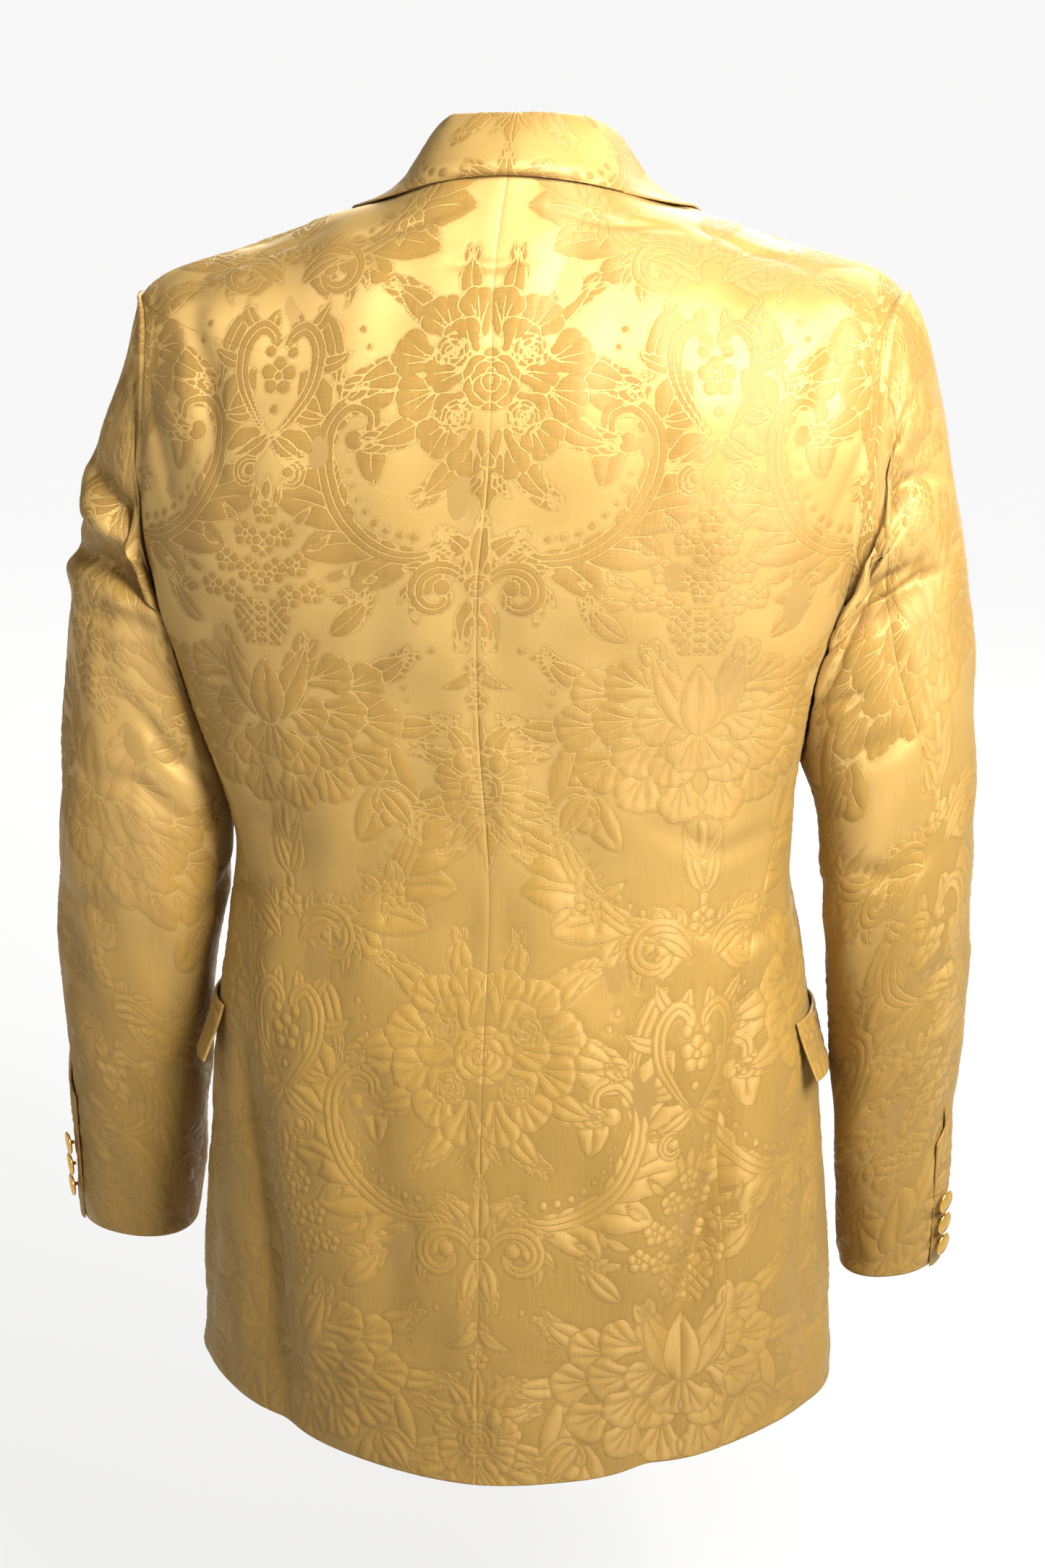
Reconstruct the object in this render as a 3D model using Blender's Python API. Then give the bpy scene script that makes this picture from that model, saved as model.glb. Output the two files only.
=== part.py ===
"""A single-breasted blazer in gold damask silk, as it hangs on a figure that isn't there.

Metres, +Z up. The origin is the middle of the neck opening at the height of the shoulder neck points.
The wearer's front faces -Y and the wearer's left is +X. Every cloth piece is one cut panel: its outer face
lies on the garment's form, its inner face WALL further in.
"""

import math
from collections import namedtuple

import bmesh
import bpy
import numpy as np

# ---------------------------------------------------------------- driving sizes
WALL = 0.0017          # cloth with its interlining
SEAM_GAP = 0.0004      # between two panels that are sewn together
LAY_GAP = 0.0007       # between a piece and the one it lies on
ARMHOLE_LOW, SHOULDER_TIP, NECKLINE = 4.75, 7.0, 9.0   # ring numbers
ARMHOLE_CUT_BACK, ARMHOLE_CUT_FRONT, ARMHOLE_SKEW = math.radians(17), math.radians(24), math.radians(11)
FRONT_LAP = 0.015      # each front passes the centre by this much
BREAK_Z = -0.345       # height at which the lapel starts to turn
ROLL_SLOPE = 0.2066    # how the straight roll line runs outwards for each metre upwards
QUARTER_Z, QUARTER_DROP, QUARTER_WIDE = -0.655, 0.110, 0.070   # rounded front corner at the hem
CUFF_BUTTON, FRONT_BUTTON = 0.0150, 0.0200  # diameters
SHANK = 0.0030

# ---------------------------------------------------------------- the form: rings from the hem (0) to the neckline (9)
Ring = namedtuple("Ring", "r side_z back_z front_z half_wide back_deep front_deep back_square front_square shift_x shift_y twist lean")
BODY = [
    Ring(0.0, -0.742, -0.766, -0.765, 0.205, 0.138, 0.145, 1.72, 2.4, 0.004, 0.000, -2.0, 0.000),
    Ring(1.0, -0.620, -0.635, -0.640, 0.197, 0.138, 0.145, 2.05, 2.4, 0.003, 0.000, -1.5, 0.000),
    Ring(2.0, -0.500, -0.510, -0.515, 0.186, 0.124, 0.138, 2.25, 2.4, 0.004, 0.000, -1.0, 0.000),
    Ring(3.0, -0.395, -0.400, -0.405, 0.171, 0.092, 0.132, 2.30, 2.4, 0.004, 0.008, -0.5, 0.000),
    Ring(4.0, -0.300, -0.300, -0.300, 0.1895, 0.082, 0.144, 2.30, 2.4, 0.0105, 0.020, 0.0, 0.000),
    Ring(5.0, -0.215, -0.215, -0.215, 0.211, 0.089, 0.156, 2.30, 2.4, 0.009, 0.028, 0.0, 0.003),
    Ring(6.0, -0.140, -0.150, -0.160, 0.224, 0.096, 0.144, 2.20, 2.2, 0.002, 0.026, 0.0, 0.010),
    Ring(7.0, -0.057, -0.094, -0.120, 0.224, 0.107, 0.118, 1.78, 1.9, 0.000, 0.012, 0.0, 0.018),
    Ring(8.0, -0.028, -0.038, -0.094, 0.156, 0.098, 0.092, 1.90, 2.0, 0.001, 0.003, 0.0, 0.018),
    Ring(9.0, 0.000, 0.022, -0.070, 0.069, 0.073, 0.068, 2.00, 2.0, -0.004, 0.000, 0.0, 0.010),
]

# rings of each sleeve from the armhole (0) to the cuff (1); out and in are the outer and inner edges of the ring
Cuff = namedtuple("Cuff", "v out_x out_z in_x in_z mid_y back_deep front_deep")
SLEEVE = {
    "left": [
        Cuff(0.00, 0.222, -0.060, 0.196, -0.235, 0.012, 0.060, 0.062),
        Cuff(0.06, 0.226, -0.064, 0.201, -0.245, 0.010, 0.055, 0.066),
        Cuff(0.14, 0.235, -0.095, 0.1960, -0.262, 0.006, 0.0555, 0.068),
        Cuff(0.25, 0.256, -0.155, 0.1870, -0.285, 0.002, 0.0565, 0.066),
        Cuff(0.36, 0.275, -0.225, 0.1840, -0.315, -0.004, 0.0590, 0.062),
        Cuff(0.48, 0.285, -0.310, 0.1800, -0.365, -0.006, 0.058, 0.058),
        Cuff(0.60, 0.292, -0.395, 0.185, -0.425, -0.006, 0.054, 0.054),
        Cuff(0.74, 0.298, -0.485, 0.200, -0.500, -0.018, 0.050, 0.050),
        Cuff(0.87, 0.300, -0.585, 0.212, -0.590, -0.038, 0.046, 0.046),
        Cuff(1.00, 0.303, -0.680, 0.228, -0.690, -0.062, 0.043, 0.043),
    ],
    "right": [
        Cuff(0.00, 0.222, -0.060, 0.196, -0.235, 0.012, 0.060, 0.062),
        Cuff(0.06, 0.230, -0.064, 0.202, -0.245, 0.010, 0.055, 0.066),
        Cuff(0.14, 0.241, -0.090, 0.1870, -0.262, 0.006, 0.0540, 0.068),
        Cuff(0.25, 0.256, -0.150, 0.1720, -0.285, 0.002, 0.0545, 0.066),
        Cuff(0.36, 0.268, -0.222, 0.1640, -0.315, -0.004, 0.0580, 0.062),
        Cuff(0.48, 0.276, -0.310, 0.1815, -0.365, -0.006, 0.058, 0.058),
        Cuff(0.60, 0.279, -0.395, 0.187, -0.425, -0.006, 0.054, 0.054),
        Cuff(0.74, 0.278, -0.485, 0.193, -0.500, -0.018, 0.050, 0.050),
        Cuff(0.87, 0.273, -0.585, 0.198, -0.590, -0.038, 0.046, 0.046),
        Cuff(1.00, 0.269, -0.680, 0.204, -0.690, -0.062, 0.043, 0.043),
    ],
}

# seams on the form, in degrees round it: from the centre back on the body, from the outer edge backwards on a sleeve
Seam = namedtuple("Seam", "at degrees")
SIDE_BACK_SEAM = [Seam(0, 48), Seam(1, 47), Seam(1.6, 47), Seam(2, 49), Seam(2.5, 57), Seam(2.9, 66), Seam(3.3, 74), Seam(3.8, 79.5), Seam(4.4, 78.5)]
SIDE_FRONT_SEAM = [Seam(0, 108), Seam(2, 107), Seam(4.4, 105)]
ELBOW_SEAM = {
    "left": [Seam(0, 62), Seam(0.25, 68), Seam(0.40, 56), Seam(0.57, 40), Seam(0.70, 32), Seam(1, 26)],
    "right": [Seam(0, 62), Seam(0.22, 80), Seam(0.36, 79), Seam(0.52, 64), Seam(0.62, 54), Seam(0.76, 40), Seam(1, 30)],
}
INNER_SEAM = 250.0     # degrees round a sleeve, at the front next to the body
TOUCH_GAP, TOUCH_SOFT = 0.0016, 0.0030     # how near a sleeve comes to the body, and how softly it is flattened there

# the largest folds: a soft trough (depth > 0) along points of the form; body points are (degrees, ring), sleeve points (degrees, v)
Fold = namedtuple("Fold", "on path wide deep")
FOLDS = [
    Fold("body", [(-54, 2.27), (-45, 1.5), (-41, 1.08), (-37, 0.77), (-33, -0.1)], 0.024, 0.0070),
    Fold("body", [(56, 1.92), (49, 1.38), (45, 0.85), (43, -0.1)], 0.026, 0.0055),
    Fold("left", [(18, 0.345), (50, 0.315), (75, 0.285), (105, 0.21), (133, 0.13)], 0.017, 0.0085),
    Fold("left", [(30, 0.255), (60, 0.235), (81, 0.205), (99, 0.17), (118, 0.118)], 0.015, 0.0050),
    Fold("left", [(5, 0.275), (48, 0.270), (70, 0.250)], 0.016, -0.0035),
    Fold("right", [(133, 0.03), (102, 0.118), (73, 0.188), (25, 0.255)], 0.017, 0.0055),
    Fold("right", [(140, 0.08), (123, 0.13), (91, 0.26), (60, 0.30)], 0.016, 0.0055),
    Fold("right", [(149, 0.21), (105, 0.262), (82, 0.30), (40, 0.33)], 0.016, 0.0055),
]

# the collar from the centre back (0) to the gorge (1): where it folds, and where its leaf rests on the form
Station = namedtuple("Station", "s fold_x fold_y fold_z mid_deg mid_r mid_lift edge_deg edge_r edge_lift")
COLLAR = [
    Station(0.00, 0.0000, 0.0560, 0.0490, 0.0, 9.00, 0.0076, 0.0, 8.88, 0.0034),
    Station(0.18, 0.0260, 0.0510, 0.0480, 27.0, 9.00, 0.0076, 26.0, 8.86, 0.0034),
    Station(0.36, 0.0405, 0.0380, 0.0450, 56.0, 9.00, 0.0076, 54.0, 8.79, 0.0034),
    Station(0.52, 0.0490, 0.0160, 0.0370, 82.0, 8.98, 0.0076, 80.0, 8.72, 0.0034),
    Station(0.68, 0.0520, -0.0120, 0.0200, 102.0, 8.92, 0.0066, 101.0, 8.58, 0.0034),
    Station(0.84, 0.0495, -0.0400, -0.0140, 126.0, 8.78, 0.0056, 118.0, 8.38, 0.0036),
    Station(1.00, 0.0425, -0.0740, -0.0640, 150.0, 7.78, 0.0040, 131.0, 8.10, 0.0036),
]
COLLAR_SHIFT = -0.006    # the collar's top stands this far towards the wearer's right
LEAF_HALF = [0.12, 0.24, 0.36, 0.48, 0.58, 0.68, 0.78, 0.86, 0.93, 1.0]
LEAF_STATIONS = [-s for s in LEAF_HALF[::-1]] + [0.0] + LEAF_HALF
STAND_ENDS_DEG = 108.0   # the stand runs this far round the neckline each way

# the lapel's outer edge, seen from the front, from the break point (0) to its corner (1)
Edge = namedtuple("Edge", "t x z")
LAPEL_EDGE = [Edge(0.0, -0.0145, -0.345), Edge(0.15, 0.012, -0.315), Edge(0.35, 0.045, -0.262), Edge(0.6, 0.083, -0.196), Edge(0.8, 0.108, -0.150), Edge(1.0, 0.126, -0.104)]
GORGE_Z = -0.072         # height at which the collar ends on the roll line

# hip pocket flaps: how far round, and from which ring to which
FLAP_BACK_DEG, FLAP_FRONT_DEG, FLAP_TOP_R, FLAP_LOW_R, FLAP_FLARE, FLAP_SLOPE = {"left": 66.0, "right": 74.0}, 122.0, 2.08, 1.76, 0.0090, 0.10

# vent at the cuff: the upper sleeve laps over the under sleeve and carries three buttons
VENT_FROM, VENT_LAP_DEG, VENT_LIFT = 0.855, 11.0, 0.0025
ButtonAt = namedtuple("ButtonAt", "name side v degrees_before_edge")
CUFF_BUTTONS = [
    ButtonAt("cuff_button_l1", "left", 0.918, 7), ButtonAt("cuff_button_l2", "left", 0.941, 7), ButtonAt("cuff_button_l3", "left", 0.964, 7),
    ButtonAt("cuff_button_r1", "right", 0.929, 7), ButtonAt("cuff_button_r2", "right", 0.952, 7), ButtonAt("cuff_button_r3", "right", 0.975, 7),
]
FRONT_BUTTONS_Z = {"front_button_1": -0.362, "front_button_2": -0.462}

# rows of each panel
BODY_ROWS_LOW = [0.0, 0.12, 0.28, 0.55, 1.0, 1.5, 2.0, 2.5, 3.0, 3.5, 3.95, 4.4]
BODY_ROWS_TOP = [7.35, 7.75, 8.15, 8.6, 9.0]
RIM_STEPS = 10           # half of an armhole, from its lowest point to the shoulder tip
SLEEVE_ROWS = [0.0, 0.05, 0.10, 0.145, 0.19, 0.23, 0.27, 0.31, 0.36, 0.43, 0.52, 0.62, 0.72, 0.80, 0.85, 0.875, 0.94, 1.0]

SIDES = {"left": 1.0, "right": -1.0}


# ---------------------------------------------------------------- curves and forms
def smooth(knots, values, x):
    """A smooth curve through the values at the knots."""
    knots, values, x = (np.asarray(a, float) for a in (knots, values, x))
    step = np.diff(knots)
    slope = np.diff(values) / step
    tangent = np.empty_like(values)
    tangent[1:-1] = (slope[:-1] * step[1:] + slope[1:] * step[:-1]) / (step[:-1] + step[1:])
    tangent[0] = 1.5 * slope[0] - 0.5 * tangent[1] if len(values) > 2 else slope[0]
    tangent[-1] = 1.5 * slope[-1] - 0.5 * tangent[-2] if len(values) > 2 else slope[-1]
    k = np.clip(np.searchsorted(knots, x, side="right") - 1, 0, len(knots) - 2)
    t = (x - knots[k]) / step[k]
    a, b = 2 * t**3 - 3 * t**2 + 1, t**3 - 2 * t**2 + t
    c, d = 3 * t**2 - 2 * t**3, t**3 - t**2
    return a * values[k] + b * step[k] * tangent[k] + c * values[k + 1] + d * step[k] * tangent[k + 1]


def column(table, name):
    return np.array([getattr(row, name) for row in table], float)


def ease(low, high, x):
    t = np.clip((np.asarray(x, float) - low) / (high - low), 0, 1)
    return t * t * (3 - 2 * t)


def along(table, key, name, x):
    return smooth(column(table, key), column(table, name), x)


def ring_value(name, r):
    return along(BODY, "r", name, r)


def body(theta, r):
    """A point of the body's form: theta round from the centre back towards the wearer's left, r up from the hem."""
    theta, r = np.broadcast_arrays(np.asarray(theta, float), np.asarray(r, float))
    s, c = np.sin(theta), np.cos(theta)
    toward_back = 0.5 + 0.5 * np.tanh(c / 0.25)
    square = ring_value("back_square", r) * toward_back + ring_value("front_square", r) * (1 - toward_back)
    deep = np.where(c >= 0, ring_value("back_deep", r), ring_value("front_deep", r))
    x = ring_value("half_wide", r) * np.sign(s) * np.abs(s) ** (2 / square)
    y = deep * np.sign(c) * np.abs(c) ** (2 / square)
    side_z, end_z = ring_value("side_z", r), np.where(c >= 0, ring_value("back_z", r), ring_value("front_z", r))
    turn = np.radians(ring_value("twist", r))
    return np.stack([
        ring_value("shift_x", r) + x * np.cos(turn) - y * np.sin(turn),
        ring_value("shift_y", r) + x * np.sin(turn) + y * np.cos(turn),
        side_z + (end_z - side_z) * np.abs(c) ** 1.7 - ring_value("lean", r) * x,
    ], -1)


def armhole_cut(back, c):
    """How far the armhole's edge lies from the side's middle line, at the cosine c of the way round it."""
    s = np.sqrt(np.clip(1 - c * c, 0, 1))
    return np.where(back, -(ARMHOLE_CUT_BACK + ARMHOLE_SKEW * c) * s**0.65, ARMHOLE_CUT_FRONT * s ** (2 / 2.2))


def armhole_rim(phi):
    """(theta, r) of the armhole's edge: phi 0 at the shoulder tip, 90 degrees at the back, 180 at the lowest point."""
    s, c = np.sin(phi), np.cos(phi)
    r = (ARMHOLE_LOW + SHOULDER_TIP) / 2 + (SHOULDER_TIP - ARMHOLE_LOW) / 2 * np.sign(c) * np.abs(c) ** (2 / 2.6)
    return math.pi / 2 + armhole_cut(s >= 0, c), r


def tube(side, phi, v):
    table = SLEEVE[side]
    phi, v = np.broadcast_arrays(np.asarray(phi, float), np.asarray(v, float))
    s, c = np.sin(phi), np.cos(phi)
    get = lambda name: along(table, "v", name, v)
    round_c, round_s = np.sign(c) * np.abs(c) ** (2 / 2.2), np.sign(s) * np.abs(s) ** (2 / 2.2)
    x = (get("out_x") + get("in_x")) / 2 + (get("out_x") - get("in_x")) / 2 * round_c
    z = (get("out_z") + get("in_z")) / 2 + (get("out_z") - get("in_z")) / 2 * round_c
    y = get("mid_y") + np.where(s >= 0, get("back_deep"), get("front_deep")) * round_s
    return np.stack([SIDES[side] * x, y, z], -1)


def flank(side, y, z):
    """How far the body's side stands out at a depth and a height between the hip and the armhole."""
    rings = np.linspace(1.0, 6.9, 296)
    heights = ring_value("side_z", rings)
    r = np.interp(z, heights, rings)
    for _ in range(2):
        behind = y >= ring_value("shift_y", r)
        deep = np.where(behind, ring_value("back_deep", r), ring_value("front_deep", r))
        square = np.where(behind, ring_value("back_square", r), ring_value("front_square", r))
        part = np.clip(np.abs(y - ring_value("shift_y", r)) / deep, 0, 1)
        end_z = np.where(behind, ring_value("back_z", r), ring_value("front_z", r))
        x = SIDES[side] * ring_value("half_wide", r)
        r = np.interp(z + ring_value("lean", r) * x - (end_z - ring_value("side_z", r)) * part ** (square * 0.85), heights, rings)
    return ring_value("half_wide", r) * (1 - part**square) ** (1 / square) + SIDES[side] * ring_value("shift_x", r)


def sleeve(side, phi, v):
    """A point of a sleeve's form: phi round from the outer edge backwards, v down from the armhole to the cuff."""
    theta, r = armhole_rim(phi)
    rim = body(SIDES[side] * theta, r)
    fade = (1 - ease(0, 0.24, v))[..., None] if np.ndim(v) else 1 - ease(0, 0.24, v)
    place = tube(side, phi, v) + (rim - tube(side, phi, np.zeros_like(v))) * fade
    out = SIDES[side] * place[..., 0]
    room = out - flank(side, place[..., 1], place[..., 2]) - TOUCH_GAP
    pressed = out - room + (room + np.sqrt(room**2 + TOUCH_SOFT**2)) / 2
    place[..., 0] = SIDES[side] * (out + (pressed - out) * ease(0.04, 0.13, v) * (1 - ease(0.62, 0.74, v)))
    return place


def fold_depth(on, a, b):
    """How far the folds push the form in at (a, b): body (theta, r), sleeve (phi, v)."""
    total = np.zeros(np.broadcast(a, b).shape)
    wide = 0.19 if on == "body" else 0.055
    tall = 0.118 if on == "body" else 0.68
    for fold in FOLDS:
        if fold.on != on:
            continue
        points = np.array([(math.radians(p) * wide, q * tall) for p, q in fold.path])
        x, y = a * wide, b * tall
        lengths = np.r_[0, np.cumsum(np.hypot(*np.diff(points, axis=0).T))]
        best, place = np.full(total.shape, 9.0), np.zeros(total.shape)
        for k in range(len(points) - 1):
            d = points[k + 1] - points[k]
            t = np.clip(((x - points[k, 0]) * d[0] + (y - points[k, 1]) * d[1]) / (d @ d), 0, 1)
            away = np.hypot(x - points[k, 0] - t * d[0], y - points[k, 1] - t * d[1])
            place = np.where(away < best, (lengths[k] + t * math.hypot(*d)) / lengths[-1], place)
            best = np.minimum(best, away)
        q = (best / fold.wide) ** 2
        total += fold.deep * (1 - 0.55 * q) * np.exp(-0.9 * q) * np.sin(math.pi * np.clip(0.10 + 0.86 * place, 0, 1)) ** 0.7
    return total


def facing_out(form, a, b, step_a=2e-3, step_b=2e-3, limit_b=(0, 9)):
    """Unit normals of a form at (a, b), away from the inside."""
    b = np.clip(b, *limit_b)
    low, high = np.clip(b - step_b, *limit_b), np.clip(b + step_b, *limit_b)
    across, up = form(a + step_a, b) - form(a - step_a, b), form(a, high) - form(a, low)
    normal = np.cross(across, up)
    return normal / np.linalg.norm(normal, axis=-1, keepdims=True)


def body_normal(theta, r):
    return -facing_out(body, theta, r)


def sleeve_normal(side, phi, v):
    normal = facing_out(lambda a, b: sleeve(side, a, b), phi, v, 2e-3, 1e-3, (0, 1))
    return -normal * SIDES[side]


def on_body(theta, r, lift=0.0):
    """Points and normals of the folded form, a distance out of it."""
    theta, r = np.broadcast_arrays(np.asarray(theta, float), np.asarray(r, float))
    normal = body_normal(theta, r)
    wrapped = (theta + math.pi) % (2 * math.pi) - math.pi
    return body(theta, r) + normal * (lift - fold_depth("body", wrapped, r))[..., None], normal


def on_sleeve(side, phi, v, lift=0.0):
    phi, v = np.broadcast_arrays(np.asarray(phi, float), np.asarray(v, float))
    normal = sleeve_normal(side, phi, v)
    return sleeve(side, phi, v) + normal * (lift - fold_depth(side, phi, v))[..., None], normal


def roll_x(z):
    """How far the roll line stands from the centre front at a height."""
    return np.maximum(-FRONT_LAP, -FRONT_LAP + ROLL_SLOPE * (z - BREAK_Z))


def front_edge_x(z):
    """The front's edge seen from the front: along the centre, rounded away at the hem, along the roll line above the break."""
    down = np.clip((QUARTER_Z - z) / QUARTER_DROP, 0, 1)
    return roll_x(z) + QUARTER_WIDE * (1 - np.sqrt(np.clip(1 - down**2, 0, 1)))


def front_edge_theta(side, r):
    """The angle at which a front ends on ring r, found by halving."""
    low, high = np.full(np.shape(r), math.radians(91)), np.full(np.shape(r), math.radians(188))
    for _ in range(40):
        middle = (low + high) / 2
        point = body(SIDES[side] * middle, r)
        beyond = SIDES[side] * (point[..., 0] - ring_value("shift_x", r)) > front_edge_x(point[..., 2])
        low, high = np.where(beyond, middle, low), np.where(beyond, high, middle)
    return (low + high) / 2


def on_front(side, x, z):
    """(theta, r) of the body's form at a distance x from the centre front and a height z, found by small steps."""
    x, z = np.broadcast_arrays(np.asarray(x, float), np.asarray(z, float))
    sign = SIDES[side]
    tries_theta, tries_r = np.meshgrid(np.radians(np.linspace(96, 184, 45)), np.linspace(2.5, 9, 66))

    def place(theta, r):
        point = body(sign * theta, r)
        return sign * (point[..., 0] - ring_value("shift_x", r)), point[..., 2]

    gx, gz = place(tries_theta, tries_r)
    nearest = np.argmin((gx[..., None] - x.ravel()) ** 2 + (gz[..., None] - z.ravel()) ** 2 + 0 * gx[..., None], axis=None) if x.size == 1 else None
    flat_d = (gx.ravel()[:, None] - x.ravel()) ** 2 + (gz.ravel()[:, None] - z.ravel()) ** 2
    k = flat_d.argmin(0) if nearest is None else np.array([nearest])
    theta, r = tries_theta.ravel()[k], tries_r.ravel()[k]
    for _ in range(25):
        fx, fz = place(theta, r)
        ex, ez = x.ravel() - fx, z.ravel() - fz
        ax, az = place(theta + 1e-4, r)
        bx, bz = place(theta, r + 1e-4)
        j11, j12, j21, j22 = (ax - fx) / 1e-4, (bx - fx) / 1e-4, (az - fz) / 1e-4, (bz - fz) / 1e-4
        det = j11 * j22 - j12 * j21
        det = np.where(np.abs(det) < 1e-9, 1e-9, det)
        theta = theta + np.clip((j22 * ex - j12 * ez) / det, -0.15, 0.15)
        r = np.clip(r + np.clip((j11 * ez - j21 * ex) / det, -0.3, 0.3), 2.4, 9)
    return theta.reshape(x.shape), r.reshape(x.shape)


# ---------------------------------------------------------------- cloth solids
def pull_in(points, borders, distance):
    """Moves the named borders of a grid of points inwards along the cloth."""
    moved = points.copy()
    for border in borders:
        edge, inner = {
            "first_row": (np.s_[0], np.s_[1]), "last_row": (np.s_[-1], np.s_[-2]),
            "first_column": (np.s_[:, 0], np.s_[:, 1]), "last_column": (np.s_[:, -1], np.s_[:, -2]),
        }[border]
        toward = points[inner] - points[edge]
        moved[edge] = moved[edge] + toward / np.linalg.norm(toward, axis=-1, keepdims=True) * distance
    return moved


def cloth(name, points, normals, material, borders=("first_row", "last_row", "first_column", "last_column"), gap=SEAM_GAP / 2, wall=WALL):
    """A closed sheet: the grid of points is its outer face, and its inner face lies a wall behind it."""
    points = pull_in(points, borders, gap)
    rows, columns = points.shape[:2]
    mesh = bmesh.new()
    outer = [[mesh.verts.new(points[i, j]) for j in range(columns)] for i in range(rows)]
    inner = [[mesh.verts.new(points[i, j] - normals[i, j] * wall) for j in range(columns)] for i in range(rows)]
    for i in range(rows - 1):
        for j in range(columns - 1):
            mesh.faces.new((outer[i][j], outer[i][j + 1], outer[i + 1][j + 1], outer[i + 1][j]))
            mesh.faces.new((inner[i][j], inner[i + 1][j], inner[i + 1][j + 1], inner[i][j + 1]))
    rim = [(0, j) for j in range(columns)] + [(i, columns - 1) for i in range(1, rows)]
    rim += [(rows - 1, j) for j in range(columns - 2, -1, -1)] + [(i, 0) for i in range(rows - 2, 0, -1)]
    for (a, b), (c, d) in zip(rim, rim[1:] + rim[:1]):
        mesh.faces.new((outer[a][b], inner[a][b], inner[c][d], outer[c][d]))
    return finish(name, mesh, material)


def finish(name, mesh, material):
    bmesh.ops.triangulate(mesh, faces=mesh.faces[:])
    bmesh.ops.recalc_face_normals(mesh, faces=mesh.faces[:])
    if mesh.calc_volume(signed=True) < 0:
        bmesh.ops.reverse_faces(mesh, faces=mesh.faces[:])
    data = bpy.data.meshes.new(name)
    mesh.to_mesh(data)
    mesh.free()
    data.materials.append(material)
    data.shade_smooth()
    data.set_sharp_from_angle(angle=math.radians(38))
    obj = bpy.data.objects.new(name, data)
    bpy.context.scene.collection.objects.link(obj)
    return obj


def material(name, colour, roughness, metallic):
    made = bpy.data.materials.new(name)
    made.use_nodes = True
    shader = made.node_tree.nodes["Principled BSDF"]
    shader.inputs["Base Color"].default_value = (*colour, 1)
    shader.inputs["Roughness"].default_value = roughness
    shader.inputs["Metallic"].default_value = metallic
    return made


# ---------------------------------------------------------------- panels
RIM_PHI = np.linspace(math.pi, 0, RIM_STEPS + 1)             # from the lowest point up to the tip, along the back
SIDE_TOP = 2                                                 # the side panel takes this many rim steps each way
RIM_THETA, RIM_R = armhole_rim(RIM_PHI)


def body_rows():
    return np.array(BODY_ROWS_LOW + list(RIM_R[SIDE_TOP:]) + BODY_ROWS_TOP)


def seam_theta(table, r, top_theta):
    """A side seam's angle at r: its table up to ring 4.4, then straight on to where it meets the armhole."""
    top_r = RIM_R[SIDE_TOP]
    low = np.radians(along(table, "at", "degrees", np.minimum(r, 4.4)))
    return np.where(r <= 4.4, low, low + (top_theta - low) * np.clip((r - 4.4) / (top_r - 4.4), 0, 1))


def back_limit(r):
    top = RIM_R[SIDE_TOP]
    rim = np.interp(r, RIM_R[SIDE_TOP:], RIM_THETA[SIDE_TOP:])
    return np.where(r < top, seam_theta(SIDE_BACK_SEAM, r, RIM_THETA[SIDE_TOP]), np.where(r <= SHOULDER_TIP, rim, math.pi / 2))


def front_limit(r):
    theta, rim_r = armhole_rim(-RIM_PHI)
    top = rim_r[SIDE_TOP]
    rim = np.interp(r, rim_r[SIDE_TOP:], theta[SIDE_TOP:])
    return np.where(r < top, seam_theta(SIDE_FRONT_SEAM, r, theta[SIDE_TOP]), np.where(r <= SHOULDER_TIP, rim, math.pi / 2))


def front_lift(side, theta, r):
    """The left front passes over the right one: it stands off the form next to the centre."""
    if side == "right":
        return np.zeros(np.shape(theta))
    return (WALL + LAY_GAP + 0.0006) * ease(math.radians(160), math.radians(172), theta) * (1 - ease(4.3, 5.3, r))


def back_panel(side, material):
    r = body_rows()
    u = np.linspace(0, 1, 8)
    theta = u[None, :] * back_limit(r)[:, None]
    points, normals = on_body(SIDES[side] * theta, r[:, None] + 0 * theta)
    return cloth(f"back_{side}", points, normals, material)


def side_panel(side, material):
    low_r, top_phi = 3.95, np.linspace(RIM_PHI[SIDE_TOP], 2 * math.pi - RIM_PHI[SIDE_TOP], 2 * SIDE_TOP + 1)
    top_theta, top_r = armhole_rim(top_phi)
    u = (top_theta - top_theta[0]) / (top_theta[-1] - top_theta[0])
    rows = np.array(BODY_ROWS_LOW + [top_r[0]])
    r = np.where(rows[:, None] <= low_r, rows[:, None], low_r + (rows[:, None] - low_r) * (top_r[None, :] - low_r) / (top_r[0] - low_r))
    first, last = seam_theta(SIDE_BACK_SEAM, rows, top_theta[0]), seam_theta(SIDE_FRONT_SEAM, rows, top_theta[-1])
    theta = first[:, None] + (last - first)[:, None] * u[None, :]
    points, normals = on_body(SIDES[side] * theta, r)
    return cloth(f"side_{side}", points, normals, material)


def front_panel(side, material):
    r = body_rows()
    first, last = front_limit(r), front_edge_theta(side, r)
    u = np.linspace(0, 1, 9) ** 0.9
    theta = first[:, None] + (last - first)[:, None] * u[None, :]
    r = r[:, None] + 0 * theta
    points, normals = on_body(SIDES[side] * theta, r, front_lift(side, theta, r))
    return cloth(f"front_{side}", points, normals, material)


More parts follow.
